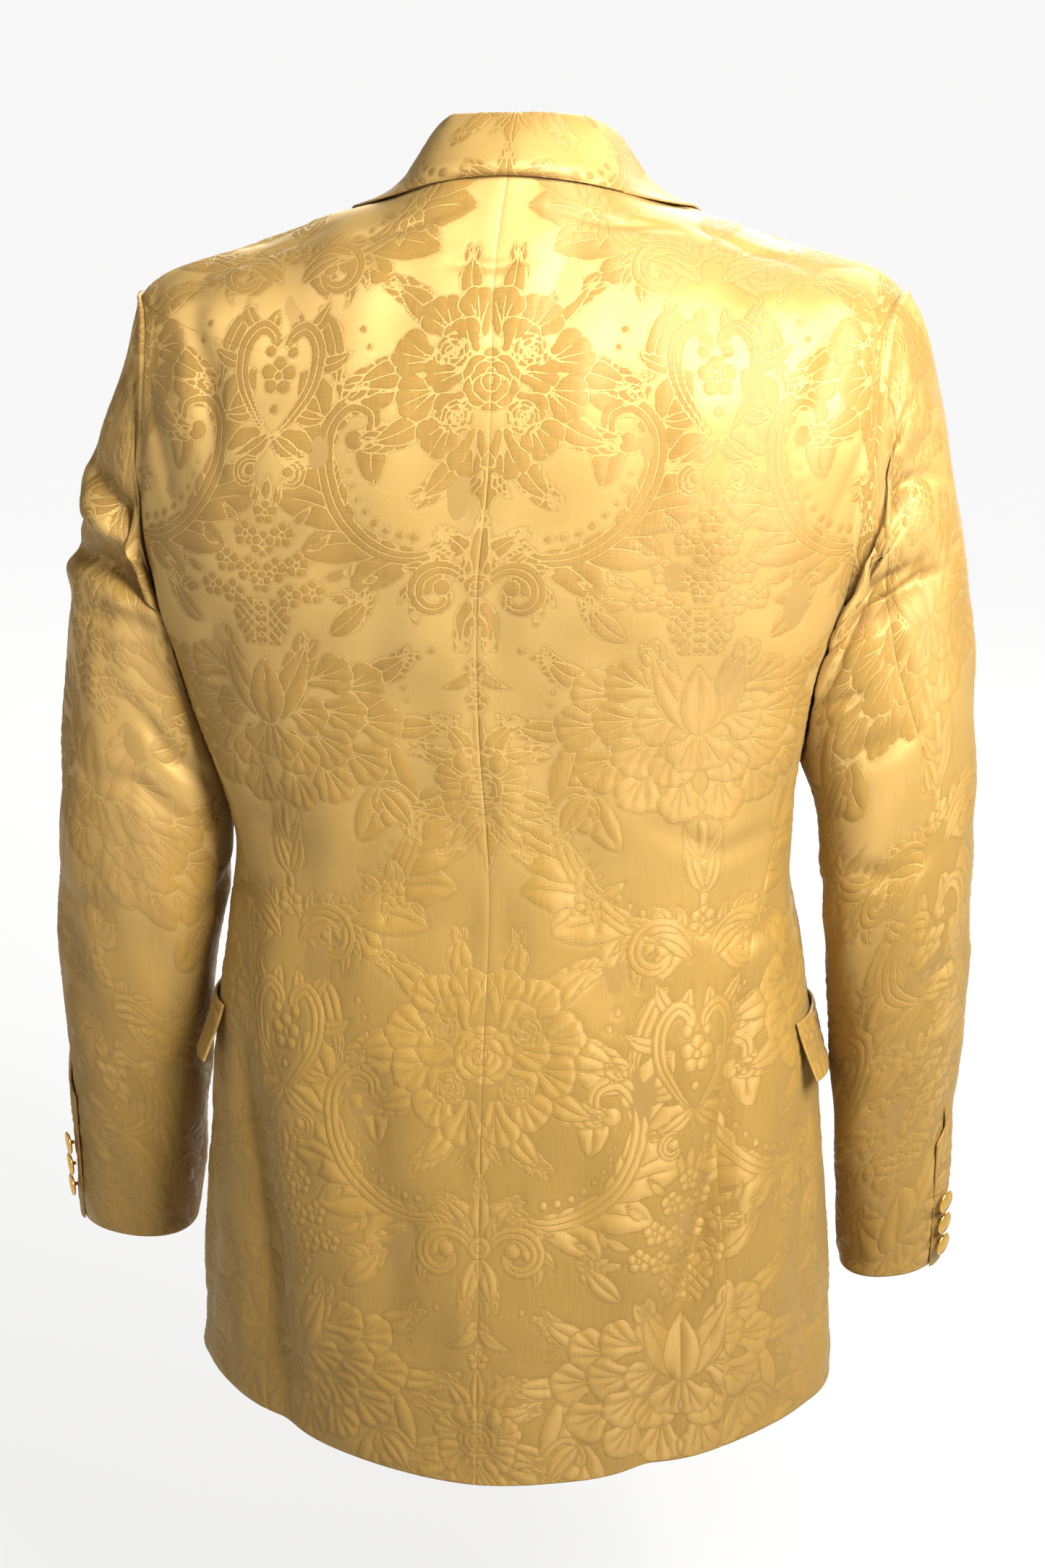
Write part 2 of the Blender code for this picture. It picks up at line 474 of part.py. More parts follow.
def lapel(side, material):
    t = np.array([0.12 if side == "left" else 0.18, 0.25, 0.34, 0.45, 0.56, 0.66, 0.76, 0.85, 0.93, 1.0])
    e = np.linspace(0, 1, 7)
    roll_z = BREAK_Z + (GORGE_Z - BREAK_Z) * t
    inner_x = roll_x(roll_z) + 0.0006
    if side == "right":
        inner_x = np.maximum(inner_x, -roll_x(roll_z) + 0.0022)
    edge_x, edge_z = along(LAPEL_EDGE, "t", "x", t), along(LAPEL_EDGE, "t", "z", t)
    x = inner_x[:, None] + (edge_x - inner_x)[:, None] * e[None, :]
    z = roll_z[:, None] + (edge_z - roll_z)[:, None] * e[None, :]
    theta, r = on_front(side, x, z)
    lift = WALL + 2 * LAY_GAP + front_lift(side, theta, r) + 0.0014 * np.sin(math.pi * e)[None, :]
    points, normals = on_body(SIDES[side] * theta, r, lift)
    return cloth(f"lapel_{side}", points, normals, material)


def collar_curves(s):
    """The collar's fold, middle and edge at a place s of its left half (s > 0) or right half (s < 0)."""
    side = np.sign(s) + (s == 0)
    a = np.abs(s)
    get = lambda name: along(COLLAR, "s", name, a)
    fold = np.stack([side * get("fold_x") + COLLAR_SHIFT * (1 - ease(0.55, 1.0, a)), get("fold_y"), get("fold_z")], -1)
    mid, mid_n = on_body(side * np.radians(get("mid_deg")), get("mid_r"), get("mid_lift"))
    edge, edge_n = on_body(side * np.radians(get("edge_deg")), get("edge_r"), get("edge_lift") + WALL - 0.0017)
    return fold, mid, edge


def inward(fold):
    """The horizontal direction from a point of the fold towards the neck's axis."""
    flat = fold * np.array([1, 1, 0]) + np.array([0, 0.012, 0])
    return -flat / np.linalg.norm(flat, axis=-1, keepdims=True)


def collar_leaf(material):
    s = np.array(LEAF_STATIONS)
    fold, mid, edge = collar_curves(s)
    tuck = fold + inward(fold) * 0.0034 - np.array([0, 0, 0.0045])
    p = np.array([0, 0.07, 0.15, 0.32, 0.52, 0.76, 1.0])
    knots = np.array([0, 0.10, 0.52, 1.0])
    points = np.stack([[[float(smooth(knots, [tuck[i, k], fold[i, k], mid[i, k], edge[i, k]], q)) for k in range(3)] for q in p] for i in range(len(s))])
    across, up = np.gradient(points, axis=0), np.gradient(points, axis=1)
    normals = np.cross(across, up)
    normals /= np.linalg.norm(normals, axis=-1, keepdims=True)
    if normals[10, 5] @ np.array([0, 1, 0.3]) < 0:
        normals = -normals
    return cloth("collar_leaf", points, normals, material, borders=("first_column",), gap=SEAM_GAP)


def collar_stand(material):
    s = np.array([k for k in LEAF_STATIONS if abs(k) < 0.70])
    fold, mid, edge = collar_curves(s)
    tuck = fold + inward(fold) * 0.0034 - np.array([0, 0, 0.0045])
    degrees = s / 0.68 * STAND_ENDS_DEG
    base, base_n = on_body(np.radians(degrees), np.full(len(s), NECKLINE))
    base = base + np.array([0, 0, 0.0030]) - base_n * WALL * 1.2
    p = np.array([0, 0.5, 1.0])
    points = base[:, None] + (tuck - base)[:, None] * p[None, :, None]
    across, up = np.gradient(points, axis=0), np.gradient(points, axis=1)
    normals = np.cross(across, up)
    normals /= np.linalg.norm(normals, axis=-1, keepdims=True)
    if normals[7, 1] @ np.array([0, -1, 0]) < 0:
        normals = -normals
    return cloth("collar_stand", points, normals, material, borders=("last_column",), gap=0.0048)


def elbow_phi(side, v):
    return np.radians(along(ELBOW_SEAM[side], "at", "degrees", v))


def sleeve_rows():
    return np.array(SLEEVE_ROWS)


def upper_phi_limit(side, v):
    """Where the upper sleeve ends at the back: at the elbow seam, and past it along the vent."""
    return elbow_phi(side, v) + math.radians(VENT_LAP_DEG) * ease(VENT_FROM, VENT_FROM + 0.015, v)


def upper_lift(side, phi, v):
    near = ease(math.radians(-26), math.radians(-7), phi - elbow_phi(side, v))
    return VENT_LIFT * near * ease(VENT_FROM - 0.03, VENT_FROM, v)


def cap_columns(first, last, count):
    """Columns round a sleeve that land on the same rim points as the body's rows do."""
    return np.linspace(first, last, count)


def sleeve_upper(side, material):
    v = sleeve_rows()
    start = math.radians(INNER_SEAM - 360)
    u = np.linspace(0, 1, 11)
    phi = start + (upper_phi_limit(side, v) - start)[:, None] * u[None, :]
    rows = v[:, None] + 0 * phi
    points, normals = on_sleeve(side, phi, rows, upper_lift(side, phi, rows))
    points = pull_in(points, ("first_row",), 0.0014)
    return cloth(f"sleeve_upper_{side}", points, normals, material, borders=("first_column", "last_column"))


def sleeve_under(side, material):
    v = sleeve_rows()
    u = np.linspace(0, 1, 9)
    phi = elbow_phi(side, v)[:, None] + (math.radians(INNER_SEAM) - elbow_phi(side, v))[:, None] * u[None, :]
    rows = v[:, None] + 0 * phi
    points, normals = on_sleeve(side, phi, rows)
    points = pull_in(points, ("first_row",), 0.0014)
    return cloth(f"sleeve_under_{side}", points, normals, material, borders=("first_column", "last_column"))


def pocket_flap(side, material):
    u, w = np.linspace(0, 1, 8), np.array([0, 0.35, 0.7, 1.0])
    theta = np.radians(FLAP_BACK_DEG[side]) + (math.radians(FLAP_FRONT_DEG) - np.radians(FLAP_BACK_DEG[side])) * u
    w, theta = np.meshgrid(w, theta, indexing="ij")
    r = FLAP_TOP_R + (FLAP_LOW_R - FLAP_TOP_R) * w - FLAP_SLOPE * u
    flare = (FLAP_FLARE * (1 - ease(0.0, 0.75, u)) + 0.0012)[None, :] * w**1.3
    points, normals = on_body(SIDES[side] * theta, r, WALL + LAY_GAP + 0.0006 + flare)
    return cloth(f"pocket_flap_{side}", points, normals, material, borders=())


def frame_at(point, normal):
    """Two unit directions square to a normal, the first as level as it can be."""
    level = np.cross([0, 0, 1], normal)
    level /= np.linalg.norm(level)
    return level, np.cross(normal, level)


def button(name, point, normal, diameter, material):
    """A domed metal button turned about its own axis, with its shank behind it."""
    radius = diameter / 2
    profile = [(0.16, 0.0), (0.16, 0.55), (0.62, 0.60), (0.96, 0.78), (1.0, 1.0), (0.90, 1.22), (0.72, 1.18), (0.45, 1.40)]
    level, up = frame_at(point, normal)
    mesh, steps = bmesh.new(), 12
    rings = []
    for wide, high in profile:
        ring = []
        for k in range(steps):
            a = 2 * math.pi * k / steps
            ring.append(mesh.verts.new(point + normal * SHANK * high * 1.25 + (level * math.cos(a) + up * math.sin(a)) * radius * wide))
        rings.append(ring)
    for low, high in zip(rings, rings[1:]):
        for k in range(steps):
            mesh.faces.new((low[k], low[(k + 1) % steps], high[(k + 1) % steps], high[k]))
    mesh.faces.new(rings[0][::-1])
    top = mesh.verts.new(point + normal * SHANK * 1.55 * 1.25)
    for k in range(steps):
        mesh.faces.new((rings[-1][k], rings[-1][(k + 1) % steps], top))
    return finish(name, mesh, material)


def build():
    for obj in list(bpy.data.objects):
        bpy.data.objects.remove(obj)
    damask = material("gold_damask", (0.70, 0.44, 0.13), 0.42, 0.0)
    metal = material("gold_metal", (0.78, 0.52, 0.18), 0.28, 1.0)
    for side in SIDES:
        back_panel(side, damask)
        side_panel(side, damask)
        front_panel(side, damask)
        lapel(side, damask)
        sleeve_upper(side, damask)
        sleeve_under(side, damask)
        pocket_flap(side, damask)
    collar_leaf(damask)
    collar_stand(damask)
    for at in CUFF_BUTTONS:
        phi = upper_phi_limit(at.side, np.array(at.v)) - math.radians(at.degrees_before_edge)
        point, normal = on_sleeve(at.side, phi, np.array(at.v), upper_lift(at.side, phi, np.array(at.v)) + LAY_GAP)
        button(at.name, point, normal, CUFF_BUTTON, metal)
    for name, z in FRONT_BUTTONS_Z.items():
        theta, r = on_front("left", np.array([0.0]), np.array([z]))
        point, normal = on_body(theta[0], r[0], front_lift("left", theta, r)[0] + LAY_GAP)
        button(name, point, normal, FRONT_BUTTON, metal)


build()
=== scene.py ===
"""The looks of the blazer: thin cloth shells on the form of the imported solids, with their creases, their raised
damask and their seams, and turned metal buttons. Metres, +Z up, the wearer's front facing -Y.
"""
import math
from collections import namedtuple

import bpy
import numpy as np
from mathutils import Matrix, Vector


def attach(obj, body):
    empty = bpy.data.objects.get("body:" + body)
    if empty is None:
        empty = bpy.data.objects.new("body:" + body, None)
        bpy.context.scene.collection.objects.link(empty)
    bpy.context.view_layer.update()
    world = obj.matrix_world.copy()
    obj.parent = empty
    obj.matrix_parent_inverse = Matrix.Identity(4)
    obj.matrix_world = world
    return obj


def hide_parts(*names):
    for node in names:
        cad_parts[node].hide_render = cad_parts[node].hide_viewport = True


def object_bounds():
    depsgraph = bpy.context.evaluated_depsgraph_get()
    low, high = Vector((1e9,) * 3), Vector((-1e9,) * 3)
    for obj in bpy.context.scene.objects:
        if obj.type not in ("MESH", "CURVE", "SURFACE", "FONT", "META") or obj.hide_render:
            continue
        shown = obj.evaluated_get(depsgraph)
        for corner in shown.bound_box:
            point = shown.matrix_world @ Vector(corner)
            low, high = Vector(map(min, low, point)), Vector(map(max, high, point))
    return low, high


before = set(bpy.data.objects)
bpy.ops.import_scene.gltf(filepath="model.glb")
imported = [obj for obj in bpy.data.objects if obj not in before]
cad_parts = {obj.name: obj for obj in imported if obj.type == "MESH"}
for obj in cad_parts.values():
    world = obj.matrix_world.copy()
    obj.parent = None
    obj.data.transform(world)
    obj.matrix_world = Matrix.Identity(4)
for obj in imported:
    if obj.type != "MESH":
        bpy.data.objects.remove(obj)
CAD_BOX = [list(corner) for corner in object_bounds()]

# ---------------------------------------------------------------- sizes, the same as the solids'
WALL = 0.0017
SEAM_GAP = 0.0004
LAY_GAP = 0.0007
ARMHOLE_LOW, SHOULDER_TIP, NECKLINE = 4.75, 7.0, 9.0
ARMHOLE_CUT_BACK, ARMHOLE_CUT_FRONT, ARMHOLE_SKEW = math.radians(17), math.radians(24), math.radians(11)
FRONT_LAP = 0.015
BREAK_Z = -0.345
ROLL_SLOPE = 0.2066
QUARTER_Z, QUARTER_DROP, QUARTER_WIDE = -0.655, 0.110, 0.070
CUFF_BUTTON, FRONT_BUTTON = 0.0150, 0.0200
SHANK = 0.0030

# ---------------------------------------------------------------- the form: rings from the hem (0) to the neckline (9)
Ring = namedtuple("Ring", "r side_z back_z front_z half_wide back_deep front_deep back_square front_square shift_x shift_y twist lean")
BODY = [
    Ring(0.0, -0.742, -0.766, -0.765, 0.205, 0.138, 0.145, 1.72, 2.4, 0.004, 0.000, -2.0, 0.000),
    Ring(1.0, -0.620, -0.635, -0.640, 0.197, 0.138, 0.145, 2.05, 2.4, 0.003, 0.000, -1.5, 0.000),
    Ring(2.0, -0.500, -0.510, -0.515, 0.186, 0.124, 0.138, 2.25, 2.4, 0.004, 0.000, -1.0, 0.000),
    Ring(3.0, -0.395, -0.400, -0.405, 0.171, 0.092, 0.132, 2.30, 2.4, 0.004, 0.008, -0.5, 0.000),
    Ring(4.0, -0.300, -0.300, -0.300, 0.1895, 0.082, 0.144, 2.30, 2.4, 0.0105, 0.020, 0.0, 0.000),
    Ring(5.0, -0.215, -0.215, -0.215, 0.211, 0.089, 0.156, 2.30, 2.4, 0.009, 0.028, 0.0, 0.003),
    Ring(6.0, -0.140, -0.150, -0.160, 0.224, 0.096, 0.144, 2.20, 2.2, 0.002, 0.026, 0.0, 0.010),
    Ring(7.0, -0.057, -0.094, -0.120, 0.224, 0.107, 0.118, 1.78, 1.9, 0.000, 0.012, 0.0, 0.018),
    Ring(8.0, -0.028, -0.038, -0.094, 0.156, 0.098, 0.092, 1.90, 2.0, 0.001, 0.003, 0.0, 0.018),
    Ring(9.0, 0.000, 0.022, -0.070, 0.069, 0.073, 0.068, 2.00, 2.0, -0.004, 0.000, 0.0, 0.010),
]

# rings of each sleeve from the armhole (0) to the cuff (1); out and in are the outer and inner edges of the ring
Cuff = namedtuple("Cuff", "v out_x out_z in_x in_z mid_y back_deep front_deep")
SLEEVE = {
    "left": [
        Cuff(0.00, 0.222, -0.060, 0.196, -0.235, 0.012, 0.060, 0.062),
        Cuff(0.06, 0.226, -0.064, 0.201, -0.245, 0.010, 0.055, 0.066),
        Cuff(0.14, 0.235, -0.095, 0.1960, -0.262, 0.006, 0.0555, 0.068),
        Cuff(0.25, 0.256, -0.155, 0.1870, -0.285, 0.002, 0.0565, 0.066),
        Cuff(0.36, 0.275, -0.225, 0.1840, -0.315, -0.004, 0.0590, 0.062),
        Cuff(0.48, 0.285, -0.310, 0.1800, -0.365, -0.006, 0.058, 0.058),
        Cuff(0.60, 0.292, -0.395, 0.185, -0.425, -0.006, 0.054, 0.054),
        Cuff(0.74, 0.298, -0.485, 0.200, -0.500, -0.018, 0.050, 0.050),
        Cuff(0.87, 0.300, -0.585, 0.212, -0.590, -0.038, 0.046, 0.046),
        Cuff(1.00, 0.303, -0.680, 0.228, -0.690, -0.062, 0.043, 0.043),
    ],
    "right": [
        Cuff(0.00, 0.222, -0.060, 0.196, -0.235, 0.012, 0.060, 0.062),
        Cuff(0.06, 0.230, -0.064, 0.202, -0.245, 0.010, 0.055, 0.066),
        Cuff(0.14, 0.241, -0.090, 0.1870, -0.262, 0.006, 0.0540, 0.068),
        Cuff(0.25, 0.256, -0.150, 0.1720, -0.285, 0.002, 0.0545, 0.066),
        Cuff(0.36, 0.268, -0.222, 0.1640, -0.315, -0.004, 0.0580, 0.062),
        Cuff(0.48, 0.276, -0.310, 0.1815, -0.365, -0.006, 0.058, 0.058),
        Cuff(0.60, 0.279, -0.395, 0.187, -0.425, -0.006, 0.054, 0.054),
        Cuff(0.74, 0.278, -0.485, 0.193, -0.500, -0.018, 0.050, 0.050),
        Cuff(0.87, 0.273, -0.585, 0.198, -0.590, -0.038, 0.046, 0.046),
        Cuff(1.00, 0.269, -0.680, 0.204, -0.690, -0.062, 0.043, 0.043),
    ],
}

# seams on the form, in degrees round it: from the centre back on the body, from the outer edge backwards on a sleeve
Seam = namedtuple("Seam", "at degrees")
SIDE_BACK_SEAM = [Seam(0, 48), Seam(1, 47), Seam(1.6, 47), Seam(2, 49), Seam(2.5, 57), Seam(2.9, 66), Seam(3.3, 74), Seam(3.8, 79.5), Seam(4.4, 78.5)]
SIDE_FRONT_SEAM = [Seam(0, 108), Seam(2, 107), Seam(4.4, 105)]
ELBOW_SEAM = {
    "left": [Seam(0, 62), Seam(0.25, 68), Seam(0.40, 56), Seam(0.57, 40), Seam(0.70, 32), Seam(1, 26)],
    "right": [Seam(0, 62), Seam(0.22, 80), Seam(0.36, 79), Seam(0.52, 64), Seam(0.62, 54), Seam(0.76, 40), Seam(1, 30)],
}
INNER_SEAM = 250.0     # degrees round a sleeve, at the front next to the body
TOUCH_GAP, TOUCH_SOFT = 0.0004, 0.0022     # how near a sleeve comes to the body, and how softly it is flattened there

# the largest folds: a soft trough (depth > 0) along points of the form; body points are (degrees, ring), sleeve points (degrees, v)
Fold = namedtuple("Fold", "on path wide deep")
FOLDS = [
    Fold("body", [(-54, 2.27), (-45, 1.5), (-41, 1.08), (-37, 0.77), (-33, -0.1)], 0.024, 0.0070),
    Fold("body", [(56, 1.92), (49, 1.38), (45, 0.85), (43, -0.1)], 0.026, 0.0055),
    Fold("left", [(18, 0.345), (50, 0.315), (75, 0.285), (105, 0.21), (133, 0.13)], 0.017, 0.0085),
    Fold("left", [(30, 0.255), (60, 0.235), (81, 0.205), (99, 0.17), (118, 0.118)], 0.015, 0.0050),
    Fold("left", [(5, 0.275), (48, 0.270), (70, 0.250)], 0.016, -0.0035),
    Fold("right", [(133, 0.03), (102, 0.118), (73, 0.188), (25, 0.255)], 0.017, 0.0055),
    Fold("right", [(140, 0.08), (123, 0.13), (91, 0.26), (60, 0.30)], 0.016, 0.0055),
    Fold("right", [(149, 0.21), (105, 0.262), (82, 0.30), (40, 0.33)], 0.016, 0.0055),
]

# the collar from the centre back (0) to the gorge (1): where it folds, and where its leaf rests on the form
Station = namedtuple("Station", "s fold_x fold_y fold_z mid_deg mid_r mid_lift edge_deg edge_r edge_lift")
COLLAR = [
    Station(0.00, 0.0000, 0.0560, 0.0490, 0.0, 9.00, 0.0076, 0.0, 8.88, 0.0034),
    Station(0.18, 0.0260, 0.0510, 0.0480, 27.0, 9.00, 0.0076, 26.0, 8.86, 0.0034),
    Station(0.36, 0.0405, 0.0380, 0.0450, 56.0, 9.00, 0.0076, 54.0, 8.79, 0.0034),
    Station(0.52, 0.0490, 0.0160, 0.0370, 82.0, 8.98, 0.0076, 80.0, 8.72, 0.0034),
    Station(0.68, 0.0520, -0.0120, 0.0200, 102.0, 8.92, 0.0066, 101.0, 8.58, 0.0034),
    Station(0.84, 0.0495, -0.0400, -0.0140, 126.0, 8.78, 0.0056, 118.0, 8.38, 0.0036),
    Station(1.00, 0.0425, -0.0740, -0.0640, 150.0, 7.78, 0.0040, 131.0, 8.10, 0.0036),
]
COLLAR_SHIFT = -0.006    # the collar's top stands this far towards the wearer's right
LEAF_HALF = [0.12, 0.24, 0.36, 0.48, 0.58, 0.68, 0.78, 0.86, 0.93, 1.0]
LEAF_STATIONS = [-s for s in LEAF_HALF[::-1]] + [0.0] + LEAF_HALF
STAND_ENDS_DEG = 108.0   # the stand runs this far round the neckline each way

# the lapel's outer edge, seen from the front, from the break point (0) to its corner (1)
Edge = namedtuple("Edge", "t x z")
LAPEL_EDGE = [Edge(0.0, -0.0145, -0.345), Edge(0.15, 0.012, -0.315), Edge(0.35, 0.045, -0.262), Edge(0.6, 0.083, -0.196), Edge(0.8, 0.108, -0.150), Edge(1.0, 0.126, -0.104)]
GORGE_Z = -0.072         # height at which the collar ends on the roll line

# hip pocket flaps: how far round, and from which ring to which
FLAP_BACK_DEG, FLAP_FRONT_DEG, FLAP_TOP_R, FLAP_LOW_R, FLAP_FLARE, FLAP_SLOPE = {"left": 66.0, "right": 74.0}, 122.0, 2.08, 1.76, 0.0090, 0.10

# vent at the cuff: the upper sleeve laps over the under sleeve and carries three buttons
VENT_FROM, VENT_LAP_DEG, VENT_LIFT = 0.855, 11.0, 0.0025
ButtonAt = namedtuple("ButtonAt", "name side v degrees_before_edge")
CUFF_BUTTONS = [
    ButtonAt("cuff_button_l1", "left", 0.918, 7), ButtonAt("cuff_button_l2", "left", 0.941, 7), ButtonAt("cuff_button_l3", "left", 0.964, 7),
    ButtonAt("cuff_button_r1", "right", 0.929, 7), ButtonAt("cuff_button_r2", "right", 0.952, 7), ButtonAt("cuff_button_r3", "right", 0.975, 7),
]
FRONT_BUTTONS_Z = {"front_button_1": -0.362, "front_button_2": -0.462}

SIDES = {"left": 1.0, "right": -1.0}


# ---------------------------------------------------------------- curves and forms
def smooth(knots, values, x):
    """A smooth curve through the values at the knots."""
    knots, values, x = (np.asarray(a, float) for a in (knots, values, x))
    step = np.diff(knots)
    slope = np.diff(values) / step
    tangent = np.empty_like(values)
    tangent[1:-1] = (slope[:-1] * step[1:] + slope[1:] * step[:-1]) / (step[:-1] + step[1:])
    tangent[0] = 1.5 * slope[0] - 0.5 * tangent[1] if len(values) > 2 else slope[0]
    tangent[-1] = 1.5 * slope[-1] - 0.5 * tangent[-2] if len(values) > 2 else slope[-1]
    k = np.clip(np.searchsorted(knots, x, side="right") - 1, 0, len(knots) - 2)
    t = (x - knots[k]) / step[k]
    a, b = 2 * t**3 - 3 * t**2 + 1, t**3 - 2 * t**2 + t
    c, d = 3 * t**2 - 2 * t**3, t**3 - t**2
    return a * values[k] + b * step[k] * tangent[k] + c * values[k + 1] + d * step[k] * tangent[k + 1]


def column(table, name):
    return np.array([getattr(row, name) for row in table], float)


def ease(low, high, x):
    t = np.clip((np.asarray(x, float) - low) / (high - low), 0, 1)
    return t * t * (3 - 2 * t)


def along(table, key, name, x):
    return smooth(column(table, key), column(table, name), x)


def ring_value(name, r):
    return along(BODY, "r", name, r)


def body(theta, r):
    """A point of the body's form: theta round from the centre back towards the wearer's left, r up from the hem."""
    theta, r = np.broadcast_arrays(np.asarray(theta, float), np.asarray(r, float))
    s, c = np.sin(theta), np.cos(theta)
    toward_back = 0.5 + 0.5 * np.tanh(c / 0.25)
    square = ring_value("back_square", r) * toward_back + ring_value("front_square", r) * (1 - toward_back)
    deep = np.where(c >= 0, ring_value("back_deep", r), ring_value("front_deep", r))
    x = ring_value("half_wide", r) * np.sign(s) * np.abs(s) ** (2 / square)
    y = deep * np.sign(c) * np.abs(c) ** (2 / square)
    side_z, end_z = ring_value("side_z", r), np.where(c >= 0, ring_value("back_z", r), ring_value("front_z", r))
    turn = np.radians(ring_value("twist", r))
    return np.stack([
        ring_value("shift_x", r) + x * np.cos(turn) - y * np.sin(turn),
        ring_value("shift_y", r) + x * np.sin(turn) + y * np.cos(turn),
        side_z + (end_z - side_z) * np.abs(c) ** 1.7 - ring_value("lean", r) * x,
    ], -1)


def armhole_cut(back, c):
    """How far the armhole's edge lies from the side's middle line, at the cosine c of the way round it."""
    s = np.sqrt(np.clip(1 - c * c, 0, 1))
    return np.where(back, -(ARMHOLE_CUT_BACK + ARMHOLE_SKEW * c) * s**0.65, ARMHOLE_CUT_FRONT * s ** (2 / 2.2))


def armhole_rim(phi):
    """(theta, r) of the armhole's edge: phi 0 at the shoulder tip, 90 degrees at the back, 180 at the lowest point."""
    s, c = np.sin(phi), np.cos(phi)
    r = (ARMHOLE_LOW + SHOULDER_TIP) / 2 + (SHOULDER_TIP - ARMHOLE_LOW) / 2 * np.sign(c) * np.abs(c) ** (2 / 2.6)
    return math.pi / 2 + armhole_cut(s >= 0, c), r


def tube(side, phi, v):
    table = SLEEVE[side]
    phi, v = np.broadcast_arrays(np.asarray(phi, float), np.asarray(v, float))
    s, c = np.sin(phi), np.cos(phi)
    get = lambda name: along(table, "v", name, v)
    round_c, round_s = np.sign(c) * np.abs(c) ** (2 / 2.2), np.sign(s) * np.abs(s) ** (2 / 2.2)
    x = (get("out_x") + get("in_x")) / 2 + (get("out_x") - get("in_x")) / 2 * round_c
    z = (get("out_z") + get("in_z")) / 2 + (get("out_z") - get("in_z")) / 2 * round_c
    y = get("mid_y") + np.where(s >= 0, get("back_deep"), get("front_deep")) * round_s
    return np.stack([SIDES[side] * x, y, z], -1)


def flank(side, y, z):
    """How far the body's side stands out at a depth and a height between the hip and the armhole."""
    rings = np.linspace(1.0, 6.9, 296)
    heights = ring_value("side_z", rings)
    r = np.interp(z, heights, rings)
    for _ in range(2):
        behind = y >= ring_value("shift_y", r)
        deep = np.where(behind, ring_value("back_deep", r), ring_value("front_deep", r))
        square = np.where(behind, ring_value("back_square", r), ring_value("front_square", r))
        part = np.clip(np.abs(y - ring_value("shift_y", r)) / deep, 0, 1)
        end_z = np.where(behind, ring_value("back_z", r), ring_value("front_z", r))
        x = SIDES[side] * ring_value("half_wide", r)
        r = np.interp(z + ring_value("lean", r) * x - (end_z - ring_value("side_z", r)) * part ** (square * 0.85), heights, rings)
    return ring_value("half_wide", r) * (1 - part**square) ** (1 / square) + SIDES[side] * ring_value("shift_x", r)


def sleeve(side, phi, v):
    """A point of a sleeve's form: phi round from the outer edge backwards, v down from the armhole to the cuff."""
    theta, r = armhole_rim(phi)
    rim = body(SIDES[side] * theta, r)
    fade = (1 - ease(0, 0.24, v))[..., None] if np.ndim(v) else 1 - ease(0, 0.24, v)
    place = tube(side, phi, v) + (rim - tube(side, phi, np.zeros_like(v))) * fade
    out = SIDES[side] * place[..., 0]
    room = out - flank(side, place[..., 1], place[..., 2]) - TOUCH_GAP
    pressed = out - room + (room + np.sqrt(room**2 + TOUCH_SOFT**2)) / 2
    place[..., 0] = SIDES[side] * (out + (pressed - out) * ease(0.04, 0.13, v) * (1 - ease(0.62, 0.74, v)))
    return place


def fold_depth(on, a, b):
    """How far the folds push the form in at (a, b): body (theta, r), sleeve (phi, v)."""
    total = np.zeros(np.broadcast(a, b).shape)
    wide = 0.19 if on == "body" else 0.055
    tall = 0.118 if on == "body" else 0.68
    for fold in FOLDS:
        if fold.on != on:
            continue
        points = np.array([(math.radians(p) * wide, q * tall) for p, q in fold.path])
        x, y = a * wide, b * tall
        lengths = np.r_[0, np.cumsum(np.hypot(*np.diff(points, axis=0).T))]
        best, place = np.full(total.shape, 9.0), np.zeros(total.shape)
        for k in range(len(points) - 1):
            d = points[k + 1] - points[k]
            t = np.clip(((x - points[k, 0]) * d[0] + (y - points[k, 1]) * d[1]) / (d @ d), 0, 1)
            away = np.hypot(x - points[k, 0] - t * d[0], y - points[k, 1] - t * d[1])
            place = np.where(away < best, (lengths[k] + t * math.hypot(*d)) / lengths[-1], place)
            best = np.minimum(best, away)
        q = (best / fold.wide) ** 2
        total += fold.deep * (1 - 0.55 * q) * np.exp(-0.9 * q) * np.sin(math.pi * np.clip(0.10 + 0.86 * place, 0, 1)) ** 0.7
    return total


def facing_out(form, a, b, step_a=2e-3, step_b=2e-3, limit_b=(0, 9)):
    """Unit normals of a form at (a, b), away from the inside."""
    b = np.clip(b, *limit_b)
    low, high = np.clip(b - step_b, *limit_b), np.clip(b + step_b, *limit_b)
    across, up = form(a + step_a, b) - form(a - step_a, b), form(a, high) - form(a, low)
    normal = np.cross(across, up)
    return normal / np.linalg.norm(normal, axis=-1, keepdims=True)


def body_normal(theta, r):
    return -facing_out(body, theta, r)


def sleeve_normal(side, phi, v):
    normal = facing_out(lambda a, b: sleeve(side, a, b), phi, v, 2e-3, 1e-3, (0, 1))
    return -normal * SIDES[side]


def on_body(theta, r, lift=0.0):
    """Points and normals of the folded form, a distance out of it."""
    theta, r = np.broadcast_arrays(np.asarray(theta, float), np.asarray(r, float))
    normal = body_normal(theta, r)
    wrapped = (theta + math.pi) % (2 * math.pi) - math.pi
    return body(theta, r) + normal * (lift - fold_depth("body", wrapped, r))[..., None], normal


def on_sleeve(side, phi, v, lift=0.0):
    phi, v = np.broadcast_arrays(np.asarray(phi, float), np.asarray(v, float))
    normal = sleeve_normal(side, phi, v)
    return sleeve(side, phi, v) + normal * (lift - fold_depth(side, phi, v))[..., None], normal


def roll_x(z):
    """How far the roll line stands from the centre front at a height."""
    return np.maximum(-FRONT_LAP, -FRONT_LAP + ROLL_SLOPE * (z - BREAK_Z))


